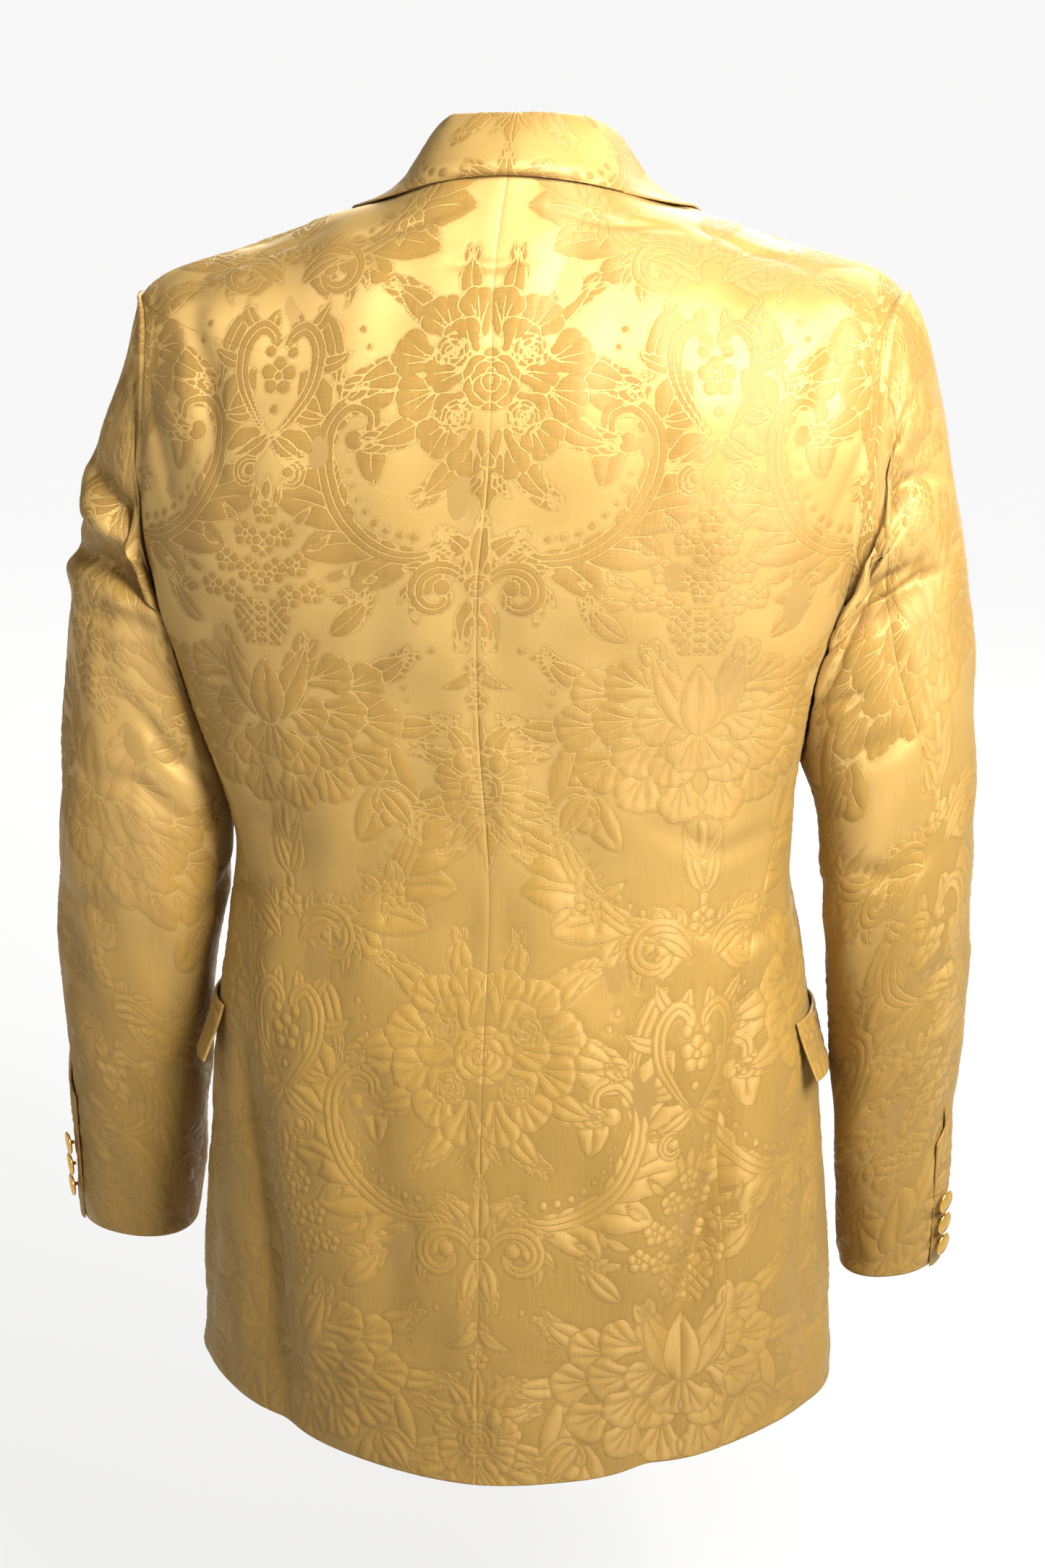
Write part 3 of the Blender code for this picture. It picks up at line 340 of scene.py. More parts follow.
def front_edge_x(z):
    """The front's edge seen from the front: along the centre, rounded away at the hem, along the roll line above the break."""
    down = np.clip((QUARTER_Z - z) / QUARTER_DROP, 0, 1)
    return roll_x(z) + QUARTER_WIDE * (1 - np.sqrt(np.clip(1 - down**2, 0, 1)))


def front_edge_theta(side, r):
    """The angle at which a front ends on ring r, found by halving."""
    low, high = np.full(np.shape(r), math.radians(91)), np.full(np.shape(r), math.radians(188))
    for _ in range(40):
        middle = (low + high) / 2
        point = body(SIDES[side] * middle, r)
        beyond = SIDES[side] * (point[..., 0] - ring_value("shift_x", r)) > front_edge_x(point[..., 2])
        low, high = np.where(beyond, middle, low), np.where(beyond, high, middle)
    return (low + high) / 2


def on_front(side, x, z):
    """(theta, r) of the body's form at a distance x from the centre front and a height z, found by small steps."""
    x, z = np.broadcast_arrays(np.asarray(x, float), np.asarray(z, float))
    sign = SIDES[side]
    tries_theta, tries_r = np.meshgrid(np.radians(np.linspace(96, 184, 45)), np.linspace(2.5, 9, 66))

    def place(theta, r):
        point = body(sign * theta, r)
        return sign * (point[..., 0] - ring_value("shift_x", r)), point[..., 2]

    gx, gz = place(tries_theta, tries_r)
    nearest = np.argmin((gx[..., None] - x.ravel()) ** 2 + (gz[..., None] - z.ravel()) ** 2 + 0 * gx[..., None], axis=None) if x.size == 1 else None
    flat_d = (gx.ravel()[:, None] - x.ravel()) ** 2 + (gz.ravel()[:, None] - z.ravel()) ** 2
    k = flat_d.argmin(0) if nearest is None else np.array([nearest])
    theta, r = tries_theta.ravel()[k], tries_r.ravel()[k]
    for _ in range(25):
        fx, fz = place(theta, r)
        ex, ez = x.ravel() - fx, z.ravel() - fz
        ax, az = place(theta + 1e-4, r)
        bx, bz = place(theta, r + 1e-4)
        j11, j12, j21, j22 = (ax - fx) / 1e-4, (bx - fx) / 1e-4, (az - fz) / 1e-4, (bz - fz) / 1e-4
        det = j11 * j22 - j12 * j21
        det = np.where(np.abs(det) < 1e-9, 1e-9, det)
        theta = theta + np.clip((j22 * ex - j12 * ez) / det, -0.15, 0.15)
        r = np.clip(r + np.clip((j11 * ez - j21 * ex) / det, -0.3, 0.3), 2.4, 9)
    return theta.reshape(x.shape), r.reshape(x.shape)


def pull_in(points, borders, distance):
    """Moves the named borders of a grid of points inwards along the cloth."""
    moved = points.copy()
    for border in borders:
        edge, inner = {
            "first_row": (np.s_[0], np.s_[1]), "last_row": (np.s_[-1], np.s_[-2]),
            "first_column": (np.s_[:, 0], np.s_[:, 1]), "last_column": (np.s_[:, -1], np.s_[:, -2]),
        }[border]
        toward = points[inner] - points[edge]
        moved[edge] = moved[edge] + toward / np.linalg.norm(toward, axis=-1, keepdims=True) * distance
    return moved


def collar_curves(s):
    """The collar's fold, middle and edge at a place s of its left half (s > 0) or right half (s < 0)."""
    side = np.sign(s) + (s == 0)
    a = np.abs(s)
    get = lambda name: along(COLLAR, "s", name, a)
    fold = np.stack([side * get("fold_x") + COLLAR_SHIFT * (1 - ease(0.55, 1.0, a)), get("fold_y"), get("fold_z")], -1)
    mid, mid_n = on_body(side * np.radians(get("mid_deg")), get("mid_r"), get("mid_lift"))
    edge, edge_n = on_body(side * np.radians(get("edge_deg")), get("edge_r"), get("edge_lift") + WALL - 0.0017)
    return fold, mid, edge


def inward(fold):
    """The horizontal direction from a point of the fold towards the neck's axis."""
    flat = fold * np.array([1, 1, 0]) + np.array([0, 0.012, 0])
    return -flat / np.linalg.norm(flat, axis=-1, keepdims=True)


def elbow_phi(side, v):
    return np.radians(along(ELBOW_SEAM[side], "at", "degrees", v))


def upper_phi_limit(side, v):
    """Where the upper sleeve ends at the back: at the elbow seam, and past it along the vent."""
    return elbow_phi(side, v) + math.radians(VENT_LAP_DEG) * ease(VENT_FROM, VENT_FROM + 0.015, v)


def upper_lift(side, phi, v):
    near = ease(math.radians(-26), math.radians(-7), phi - elbow_phi(side, v))
    return VENT_LIFT * near * ease(VENT_FROM - 0.03, VENT_FROM, v)


def front_lift(side, theta, r):
    """The left front passes over the right one: it stands off the form next to the centre."""
    if side == "right":
        return np.zeros(np.shape(theta))
    return (WALL + LAY_GAP + 0.0006) * ease(math.radians(160), math.radians(172), theta) * (1 - ease(4.3, 5.3, r))


def frame_at(point, normal):
    """Two unit directions square to a normal, the first as level as it can be."""
    level = np.cross([0, 0, 1], normal)
    level /= np.linalg.norm(level)
    return level, np.cross(normal, level)



# ---------------------------------------------------------------- creases too fine for the solids
# a trough (deep > 0) or a ridge (deep < 0) along points of the form, as in the table of the largest folds
CREASES = [
    # shoulder blades and under the collar
    Fold("body", [(58, 7.15), (50, 6.75), (46, 6.30), (44, 5.8)], 0.013, 0.0022),
    Fold("body", [(70, 6.55), (62, 6.10), (57, 5.55)], 0.012, 0.0016),
    Fold("body", [(-60, 7.05), (-53, 6.60), (-49, 6.05)], 0.013, 0.0018),
    Fold("body", [(-71, 6.35), (-64, 5.85), (-60, 5.30)], 0.011, 0.0014),
    Fold("body", [(-16, 8.62), (-34, 8.46), (-52, 8.40)], 0.008, 0.0014),
    Fold("body", [(14, 8.62), (30, 8.42), (44, 8.32)], 0.008, 0.0012),
    Fold("body", [(10, 8.13), (0, 8.10), (-9, 8.16)], 0.009, 0.0011),
    Fold("body", [(60, 8.35), (66, 7.95), (68, 7.55)], 0.012, 0.0012),
    Fold("body", [(-62, 8.35), (-68, 7.90), (-69, 7.50)], 0.012, 0.0014),
    # small of the back and flanks
    Fold("body", [(34, 3.55), (52, 3.28), (70, 3.18)], 0.011, 0.0015),
    Fold("body", [(46, 2.92), (60, 2.78), (76, 2.86)], 0.010, 0.0012),
    Fold("body", [(-30, 3.42), (-48, 3.20), (-68, 3.26)], 0.011, 0.0014),
    Fold("body", [(-42, 2.80), (-58, 2.66), (-74, 2.72)], 0.010, 0.0012),
    Fold("body", [(88, 4.55), (92, 4.10), (88, 3.60)], 0.013, 0.0018),
    Fold("body", [(-90, 4.55), (-93, 4.05), (-88, 3.50)], 0.013, 0.0020),
    # skirt of the back
    Fold("body", [(20, 1.95), (17, 1.20), (16, 0.30)], 0.020, 0.0016),
    Fold("body", [(-16, 1.75), (-18, 1.00), (-17, 0.15)], 0.022, 0.0018),
    Fold("body", [(74, 1.40), (72, 0.80), (72, 0.05)], 0.018, 0.0020),
    Fold("body", [(-74, 1.45), (-72, 0.85), (-71, 0.05)], 0.018, 0.0018),
    Fold("body", [(-50, 1.95), (-39, 1.20), (-31, 0.20)], 0.014, -0.0018),
    # fronts: a drag towards the top button, and soft lengthwise folds in the skirt
    Fold("body", [(146, 3.95), (158, 3.62), (168, 3.48)], 0.010, 0.0016),
    Fold("body", [(142, 3.40), (156, 3.36), (168, 3.40)], 0.009, 0.0013),
    Fold("body", [(146, 2.85), (158, 3.10), (168, 3.30)], 0.010, 0.0015),
    Fold("body", [(-148, 3.90), (-159, 3.60), (-168, 3.46)], 0.010, 0.0013),
    Fold("body", [(-144, 2.90), (-158, 3.14), (-168, 3.32)], 0.010, 0.0014),
    Fold("body", [(124, 1.90), (127, 1.20), (131, 0.40)], 0.020, 0.0022),
    Fold("body", [(-128, 1.90), (-132, 1.10), (-134, 0.35)], 0.020, 0.0024),
    Fold("body", [(-112, 1.30), (-111, 0.70), (-112, 0.10)], 0.016, 0.0016),
    Fold("body", [(118, 6.30), (126, 5.75), (128, 5.10)], 0.013, 0.0017),
    Fold("body", [(-116, 6.40), (-124, 5.85), (-127, 5.25)], 0.013, 0.0015),
    # left sleeve
    Fold("left", [(84, 0.165), (100, 0.150), (114, 0.125)], 0.008, 0.0022),
    Fold("left", [(45, 0.098), (56, 0.062), (66, 0.032)], 0.009, 0.0018),
    Fold("left", [(20, 0.060), (24, 0.110), (36, 0.150)], 0.011, 0.0014),
    Fold("left", [(96, 0.420), (120, 0.455), (146, 0.470)], 0.011, 0.0022),
    Fold("left", [(70, 0.520), (96, 0.505), (130, 0.530)], 0.010, 0.0016),
    Fold("left", [(-30, 0.440), (-60, 0.455), (-96, 0.480)], 0.012, 0.0022),
    Fold("left", [(-40, 0.560), (-72, 0.540), (-110, 0.520)], 0.011, 0.0019),
    Fold("left", [(-150, 0.300), (-120, 0.330), (-86, 0.345)], 0.014, 0.0036),
    Fold("left", [(-156, 0.190), (-128, 0.205), (-92, 0.245)], 0.014, 0.0034),
    Fold("left", [(-150, 0.090), (-122, 0.120), (-96, 0.170)], 0.012, 0.0024),
    Fold("left", [(20, 0.640), (48, 0.660), (80, 0.650)], 0.010, 0.0012),
    Fold("left", [(-10, 0.790), (-50, 0.800), (-90, 0.780)], 0.011, 0.0013),
    Fold("left", [(150, 0.640), (176, 0.610), (200, 0.590)], 0.012, 0.0020),
    # right sleeve
    Fold("right", [(57, 0.175), (44, 0.200), (30, 0.218)], 0.008, 0.0020),
    Fold("right", [(108, 0.282), (117, 0.318), (126, 0.338)], 0.008, 0.0022),
    Fold("right", [(50, 0.090), (62, 0.055), (70, 0.028)], 0.009, 0.0015),
    Fold("right", [(18, 0.070), (24, 0.125), (20, 0.170)], 0.011, 0.0013),
    Fold("right", [(80, 0.440), (108, 0.430), (140, 0.450)], 0.011, 0.0020),
    Fold("right", [(64, 0.560), (94, 0.575), (126, 0.550)], 0.010, 0.0014),
    Fold("right", [(-24, 0.420), (-60, 0.440), (-100, 0.430)], 0.012, 0.0022),
    Fold("right", [(-36, 0.530), (-70, 0.545), (-104, 0.565)], 0.011, 0.0018),
    Fold("right", [(-154, 0.280), (-124, 0.300), (-84, 0.350)], 0.014, 0.0036),
    Fold("right", [(-150, 0.160), (-118, 0.190), (-90, 0.250)], 0.014, 0.0032),
    Fold("right", [(-146, 0.080), (-118, 0.105), (-92, 0.150)], 0.012, 0.0022),
    Fold("right", [(24, 0.700), (54, 0.690), (84, 0.715)], 0.010, 0.0012),
    Fold("right", [(-14, 0.820), (-56, 0.805), (-96, 0.830)], 0.011, 0.0012),
    Fold("right", [(154, 0.560), (178, 0.600), (204, 0.610)], 0.012, 0.0020),
    # sharp bottoms of the largest folds
    Fold("left", [(12, 0.350), (48, 0.326), (76, 0.300), (106, 0.238), (140, 0.160)], 0.0066, 0.0052),
    Fold("left", [(-16, 0.372), (8, 0.366), (34, 0.358)], 0.0110, -0.0040),
    Fold("left", [(-22, 0.318), (4, 0.312), (30, 0.296)], 0.0100, 0.0036),
    Fold("left", [(30, 0.255), (60, 0.235), (81, 0.205), (99, 0.170), (118, 0.118)], 0.0060, 0.0036),
    Fold("left", [(10, 0.305), (48, 0.286), (78, 0.246), (106, 0.172)], 0.0100, -0.0034),
    Fold("left", [(56, 0.372), (80, 0.338), (108, 0.290)], 0.0075, 0.0022),
    Fold("right", [(133, 0.030), (102, 0.118), (73, 0.188), (25, 0.255)], 0.0056, 0.0040),
    Fold("right", [(140, 0.080), (123, 0.130), (91, 0.260), (60, 0.300)], 0.0052, 0.0042),
    Fold("right", [(149, 0.210), (105, 0.262), (82, 0.300), (40, 0.330)], 0.0056, 0.0044),
    Fold("right", [(128, 0.060), (98, 0.150), (70, 0.222)], 0.0075, -0.0030),
    Fold("right", [(140, 0.170), (118, 0.205), (96, 0.222), (70, 0.226)], 0.0050, 0.0032),
    Fold("right", [(150, 0.300), (126, 0.352), (100, 0.372)], 0.0058, 0.0032),
    Fold("right", [(96, 0.060), (74, 0.110), (40, 0.150)], 0.0060, 0.0020),
    Fold("body", [(-54, 2.27), (-45, 1.50), (-41, 1.08), (-37, 0.77), (-33, -0.1)], 0.0110, 0.0026),
    Fold("body", [(56, 1.92), (49, 1.38), (45, 0.85), (43, -0.1)], 0.0120, 0.0024),
]
FOLDS = FOLDS + CREASES


def on_body(theta, r, lift=0.0):
    """Points and normals of the creased form. The creases run out before they reach the armhole's seam."""
    theta, r = np.broadcast_arrays(np.asarray(theta, float), np.asarray(r, float))
    normal = body_normal(theta, r)
    wrapped = (theta + math.pi) % (2 * math.pi) - math.pi
    back = np.abs(wrapped) < math.pi / 2
    q = np.clip((r - (ARMHOLE_LOW + SHOULDER_TIP) / 2) / ((SHOULDER_TIP - ARMHOLE_LOW) / 2), -1, 1)
    cosine = np.sign(q) * np.abs(q) ** 1.3
    rim = math.pi / 2 + armhole_cut(back, cosine)
    off = np.hypot((np.abs(wrapped) - rim) * 0.19, np.clip(np.maximum(r - SHOULDER_TIP, ARMHOLE_LOW - r), 0, 9) * 0.07)
    inside_rim = np.abs(np.abs(wrapped) - math.pi / 2) < np.abs(rim - math.pi / 2)
    calm = np.where(inside_rim & (r > ARMHOLE_LOW) & (r < SHOULDER_TIP), 0, ease(0.001, 0.022, off))
    return body(theta, r) + normal * (lift - CREASE_GAIN["body"] * calm * fold_depth("body", wrapped, r))[..., None], normal


def on_sleeve(side, phi, v, lift=0.0):
    phi, v = np.broadcast_arrays(np.asarray(phi, float), np.asarray(v, float))
    normal = sleeve_normal(side, phi, v)
    wrapped = np.abs((phi + math.pi) % (2 * math.pi) - math.pi)
    tight = 1 - 0.78 * ease(math.radians(98), math.radians(122), wrapped) * (1 - ease(0.34, 0.46, v))
    depth = CREASE_GAIN[side] * tight * fold_depth(side, phi, v) * ease(0.0, 0.035 + 0.075 * ease(math.radians(84), math.radians(112), wrapped), v)
    # creases move the cloth along a smoothed normal, so that they stay soft where the sleeve meets the body
    soft = -facing_out(lambda a, b: sleeve(side, a, b), phi, v, 0.17, 0.030, (0, 1)) * SIDES[side]
    return sleeve(side, phi, v) + normal * np.asarray(lift + 0 * depth)[..., None] - soft * depth[..., None], normal


CREASE_GAIN = {"body": 1.5, "left": 1.5, "right": 1.5}

# slow swells of the cloth between the creases: how long each is across and along, how high, and where it starts
Swell = namedtuple("Swell", "across along high start")
SWELLS = [
    Swell(0.092, 0.310, 0.00075, 0.3), Swell(0.061, 0.180, 0.00045, 1.9), Swell(-0.083, 0.140, 0.00050, 4.1),
    Swell(0.047, -0.097, 0.00030, 2.6), Swell(0.200, 0.066, 0.00035, 5.2), Swell(-0.034, 0.210, 0.00022, 0.9),
]


def swell(u, v, seed=0.0):
    total = 0
    for s in SWELLS:
        total = total + s.high * np.sin(2 * math.pi * (u / s.across + v / s.along) + s.start + seed * (1 + s.start))
    return total


# ---------------------------------------------------------------- the damask
# One repeat is mirrored about x = 0 (the column that runs down the centre back) and about x = REPEAT_WIDE / 2.
REPEAT_WIDE, REPEAT_TALL = 0.257, 0.405
DRAWN_STEP = 0.0007


class Figure:
    """The raised figure of half a repeat: how far each place lies in from the figure's edge (union), from the nearest
    edge or vein (near), a code of three bits that differs across each edge or vein, and how wide a line shows there (thin)."""

    def __init__(self):
        self.nx = int(round(REPEAT_WIDE / 2 / DRAWN_STEP)) + 1
        self.ny = int(round(REPEAT_TALL / DRAWN_STEP))
        self.xs = np.linspace(0, REPEAT_WIDE / 2, self.nx)
        self.ys = np.arange(self.ny) * REPEAT_TALL / self.ny
        shape = (self.ny, self.nx)
        self.union, self.near, self.thin, self.code, self.count = np.full(shape, -0.02), np.full(shape, 0.02), np.full(shape, 1.0), np.zeros(shape, int), 0

    def lay(self, strokes, veins=()):
        """Lays one shape, the union of strokes (points, half-widths from first to last), over what is there. A vein is (points, share of
        its length that shows); it parts the shape in two."""
        self.count += 1
        strokes = [(np.array(p, float), np.interp(np.linspace(0, 1, len(p)), np.linspace(0, 1, len(w)), w)) for p, w in strokes]
        veins = [(np.array(p, float), shows) for p, shows in veins]
        for mirror, shift in ((1, 0), (-1, 0), (-1, REPEAT_WIDE)):
            for drop in (-REPEAT_TALL, 0.0, REPEAT_TALL):
                move = lambda p: p * [mirror, 1] + [shift, drop]
                self._lay([(move(p), w) for p, w in strokes], [(move(p), shows) for p, shows in veins])

    def _lay(self, strokes, veins):
        reach = 0.005 + max(w.max() for _, w in strokes)
        low, high = np.min([p.min(0) for p, _ in strokes], 0) - reach, np.max([p.max(0) for p, _ in strokes], 0) + reach
        i, j = np.searchsorted(self.ys, [low[1], high[1]]), np.searchsorted(self.xs, [low[0], high[0]])
        if i[0] >= i[1] or j[0] >= j[1]:
            return
        x, y = np.meshgrid(self.xs[j[0]:j[1]], self.ys[i[0]:i[1]])
        best = np.full(x.shape, -0.02)
        for points, widths in strokes:
            for k in range(len(points) - 1):
                away, t, _ = self._from_line(x, y, points[k], points[k + 1])
                best = np.maximum(best, widths[k] + (widths[k + 1] - widths[k]) * t - away)
        at = (slice(i[0], i[1]), slice(j[0], j[1]))
        inner = best > 0
        code, near, thin = np.full(x.shape, self.count * 3 % 8), best.copy(), np.ones(x.shape)
        for number, (points, shows) in enumerate(veins):
            away, share, turn = np.full(x.shape, 1.0), np.zeros(x.shape), np.zeros(x.shape)
            for k in range(len(points) - 1):
                d, t, cross = self._from_line(x, y, points[k], points[k + 1])
                closer = d < away
                away, share, turn = np.where(closer, d, away), np.where(closer, (k + t) / (len(points) - 1), share), np.where(closer, cross, turn)
            closer = away < near
            near = np.where(closer, away, near)
            thin = np.where(closer, 1 - ease(shows - 0.18, shows, share), thin)
            code = np.where(turn > 0, code ^ (1 << (self.count + number) % 3), code)
        self.union[at] = np.maximum(self.union[at], best)
        self.near[at] = np.where(inner, near, np.minimum(self.near[at], -best))
        self.thin[at] = np.where(inner, thin, self.thin[at])
        self.code[at] = np.where(inner, code, self.code[at])

    @staticmethod
    def _from_line(x, y, a, b):
        d = b - a
        t = np.clip(((x - a[0]) * d[0] + (y - a[1]) * d[1]) / max(d @ d, 1e-12), 0, 1)
        return np.hypot(x - a[0] - t * d[0], y - a[1] - t * d[1]), t, d[0] * (y - a[1]) - d[1] * (x - a[0])

    def finish(self):
        signs = [np.where(self.code & bit, 1.0, -1.0) for bit in (1, 2, 4)]
        self.fields = np.stack([self.union, self.near, self.thin] + [s * self.near for s in signs], -1)
        return self

    def at(self, u, v):
        """At places of the cloth: union, near, thin and the near distance with each bit's sign, along the last axis."""
        x = np.abs((u + REPEAT_WIDE / 2) % REPEAT_WIDE - REPEAT_WIDE / 2) / (REPEAT_WIDE / 2) * (self.nx - 1)
        y = (v % REPEAT_TALL) / REPEAT_TALL * self.ny
        j, i = np.clip(x.astype(int), 0, self.nx - 2), y.astype(int) % self.ny
        fx, fy, i2 = (x - j)[..., None], (y - np.floor(y))[..., None], (i + 1) % self.ny
        g = self.fields
        return (g[i, j] * (1 - fx) + g[i, j + 1] * fx) * (1 - fy) + (g[i2, j] * (1 - fx) + g[i2, j + 1] * fx) * fy


def turned(angle):
    return np.array([math.cos(math.radians(angle)), math.sin(math.radians(angle))])


def curved(start, angle, length, bend, count=9):
    """A line that leaves start at an angle (degrees, 0 along +x, 90 down the cloth) and turns by bend degrees."""
    points, at = [np.array(start, float)], np.array(start, float)
    for k in range(count - 1):
        at = at + turned(angle + bend * (k + 0.5) / (count - 1)) * length / (count - 1)
        points.append(at)
    return np.array(points)


def leaf(figure, start, angle, length, wide, bend=30.0, vein=0.9):
    line = curved(start, angle, length, bend)
    figure.lay([(line, [wide * 0.25, wide * 0.8, wide, wide * 0.8, wide * 0.45, 0.0002])], [(line, vein)])


def lobed(figure, start, angle, length, wide, bend=30.0, lobes=3, side=0):
    """A broad leaf with rounded lobes along its edges (both, or the one on its side +1 or -1), each veined, under its middle."""
    line = curved(start, angle, length, bend, 13)
    for k in range(lobes):
        t = 0.22 + 0.58 * k / max(lobes - 1, 1)
        at, heading = line[int(t * 12)], angle + bend * t
        size = wide * (1.45 - 0.75 * t)
        for way in (1, -1):
            if side in (0, way):
                tip = curved(at, heading + 38 * way, size * 1.75, -46 * way, 7)
                figure.lay([(tip, [size * 0.42, size * 0.52, size * 0.40, size * 0.16])], [(tip, 0.85)])
    figure.lay([(line, [wide * 0.35, wide * 0.85, wide * 0.9, wide * 0.62, wide * 0.22, 0.0002])], [(line, 0.95)])


def petal(figure, centre, heading, size, lobes=4, lines=3):
    """A full petal with a scalloped outer edge and fine lines that rise from its foot."""
    centre = np.array(centre, float)
    strokes = [([centre - turned(heading) * size * 0.55, centre + turned(heading) * size * 0.10], [size * 0.30, size * 0.60])]
    for k in range(lobes):
        off = (k / (lobes - 1) - 0.5) * 118
        at = centre + turned(heading + off) * size * 0.46
        strokes.append(([centre, at], [size * 0.50, size * (0.40 - 0.05 * (k % 2))]))
    foot = centre - turned(heading) * size * 0.70
    figure.lay(strokes, [(curved(foot, heading + off * 0.35, size * 1.75, off * 0.8, 8), 0.64 + 0.12 * (k % 2)) for k, off in enumerate((-28, 4, 30)[:lines])])


def scroll(figure, centre, radius, begin, turns, wide, spin=1, lobes=0, long=0.0):
    """A volute that winds in to its eye, its thick end outside, with lobes round its outer side."""
    t = np.linspace(0, 1, 40)
    r = radius * (1 - 0.74 * t**0.85)
    a = np.radians(begin) + spin * 2 * math.pi * turns * t
    points = np.array(centre) + np.stack([r * np.cos(a), r * np.sin(a)], -1)
    for k in range(lobes):
        at = points[int(2 + 22 * k / max(lobes, 1))]
        out = math.degrees(math.atan2(*(at - np.array(centre))[::-1]))
        tip = curved(at, out + 30 * spin, long, 62 * spin, 7)
        figure.lay([(tip, [wide * 0.9, wide * 0.85, wide * 0.5, wide * 0.15])], [(tip, 0.8)])
    figure.lay([(points, [wide * 0.6, wide, wide * 0.9, wide * 0.7, wide * 0.6])], [(points, 0.8)])
    figure.lay([([points[-1], points[-1]], [wide * 1.1, wide * 1.1])])
    return points


def acanthus(figure, path, wide, lobes, long, side=1):
    """A heavy scrolling leaf: broad curling lobes along its outer side, small ones inside, and a stem with a groove."""
    path = np.array(path, float)
    lengths = np.r_[0, np.cumsum(np.hypot(*np.diff(path, axis=0).T))]
    for k in range(lobes):
        t = (k + 0.55) / lobes
        where = t * lengths[-1]
        at = np.array([np.interp(where, lengths, path[:, 0]), np.interp(where, lengths, path[:, 1])])
        ahead = np.array([np.interp(where + 0.002, lengths, path[:, 0]), np.interp(where + 0.002, lengths, path[:, 1])])
        heading = math.degrees(math.atan2(*(ahead - at)[::-1]))
        size = long * (0.50 + 0.62 * math.sin(math.pi * (0.12 + 0.76 * t)))
        tip = curved(at - turned(heading) * size * 0.15, heading + 30 * side, size, 34 * side, 9)
        figure.lay([(tip, [size * 0.22, size * 0.32, size * 0.33, size * 0.24, size * 0.08])], [(tip, 0.85)])
        if k % 2:
            inner = curved(at, heading - 34 * side, size * 0.55, 50 * side, 7)
            figure.lay([(inner, [size * 0.13, size * 0.17, size * 0.13, size * 0.04])], [(inner, 0.8)])
    figure.lay([(path, [wide * 0.55, wide, wide * 1.05, wide * 0.9, wide * 0.7])], [(path, 0.94)])
    figure.lay([([path[-1], path[-1]], [wide * 1.25, wide * 1.25])])


def floret(figure, centre, radius, petals=5, begin=-90):
    """A small open flower."""
    centre = np.array(centre, float)
    for k in range(petals):
        out = turned(begin + 360 / petals * k) * radius
        figure.lay([([centre + out * 0.20, centre + out * 0.60], [radius * 0.26, radius * 0.40])])
    figure.lay([([centre, centre], [radius * 0.24] * 2)])


def rose(figure, centre, radius, begin=0.0):
    """The heart of a full rose: petals curled round one another, the inner over the outer."""
    centre = np.array(centre, float)
    for ring, (count, out, size) in enumerate(((6, 0.60, 0.50), (5, 0.36, 0.42), (3, 0.16, 0.27))):
        for k in range(count):
            angle = begin + 360 / count * k + 25 * ring
            at = centre + turned(angle) * radius * out
            figure.lay([([at, at + turned(angle + 70) * radius * size * 0.5], [radius * size, radius * size * 0.7])])
    figure.lay([([centre, centre], [radius * 0.15] * 2)])


def beads(figure, path, count, big, small):
    path = np.array(path, float)
    lengths = np.r_[0, np.cumsum(np.hypot(*np.diff(path, axis=0).T))]
    for k in range(count):
        where = lengths[-1] * k / (count - 1)
        at = [np.interp(where, lengths, path[:, 0]), np.interp(where, lengths, path[:, 1])]
        radius = big + (small - big) * k / (count - 1)
        figure.lay([([at, at], [radius, radius])])


def through(points, count=30):
    """A smooth line through points given in millimetres."""
    points = np.array(points, float) / 1000
    t = np.linspace(0, 1, len(points))
    s = np.linspace(0, 1, count)
    return np.stack([smooth(t, points[:, 0], s), smooth(t, points[:, 1], s)], -1)


# each row draws one kind of shape; x is from the centre-back column outwards, y down the cloth, both in millimetres
Lobed = namedtuple("Lobed", "x y angle long wide bend lobes side")
Petal = namedtuple("Petal", "x y heading size lobes lines")
Leaf = namedtuple("Leaf", "x y angle long wide bend")
Floret = namedtuple("Floret", "x y radius petals")
BOUQUET_LEAVES = [
    Lobed(34, 92, -52, 40, 7.5, 30, 3, 0), Lobed(44, 118, 2, 42, 8.0, 34, 3, 0), Lobed(38, 144, 40, 36, 7.0, -30, 3, 0),
    Lobed(18, 166, 66, 34, 6.5, -36, 3, 0), Lobed(14, 78, -74, 30, 6.0, -20, 2, 0),
]
BOUQUET_PETALS = [
    Petal(45, 110, -14, 17.5, 4, 3), Petal(41, 132, 24, 17, 4, 3), Petal(27, 152, 58, 17, 4, 3), Petal(30, 90, -52, 17, 4, 3), Petal(10, 84, -84, 16, 4, 3),
    Petal(9, 164, 84, 17, 4, 3), Petal(26, 118, 4, 16, 4, 3), Petal(20, 138, 46, 15, 4, 3), Petal(18, 101, -50, 15, 4, 3),
]
SPREAD_LEAVES = [
    Lobed(66, 300, 196, 34, 6.5, 36, 3, 0), Lobed(52, 330, 172, 34, 6.5, 30, 3, 0), Lobed(60, 372, 140, 32, 6.0, -34, 3, 0), Lobed(84, 272, 214, 34, 6.0, 30, 3, 0),
]
SPREAD_PETALS = [
    Petal(70, 306, 196, 18, 4, 3), Petal(60, 328, 176, 18, 4, 3), Petal(70, 352, 150, 18, 4, 3), Petal(92, 366, 116, 18, 4, 3), Petal(116, 374, 96, 18, 4, 3),
    Petal(88, 300, 200, 17, 4, 3), Petal(82, 324, 174, 18, 4, 3), Petal(92, 344, 142, 18, 4, 3), Petal(112, 352, 106, 17, 4, 3), Petal(104, 326, 160, 16, 4, 3),
]
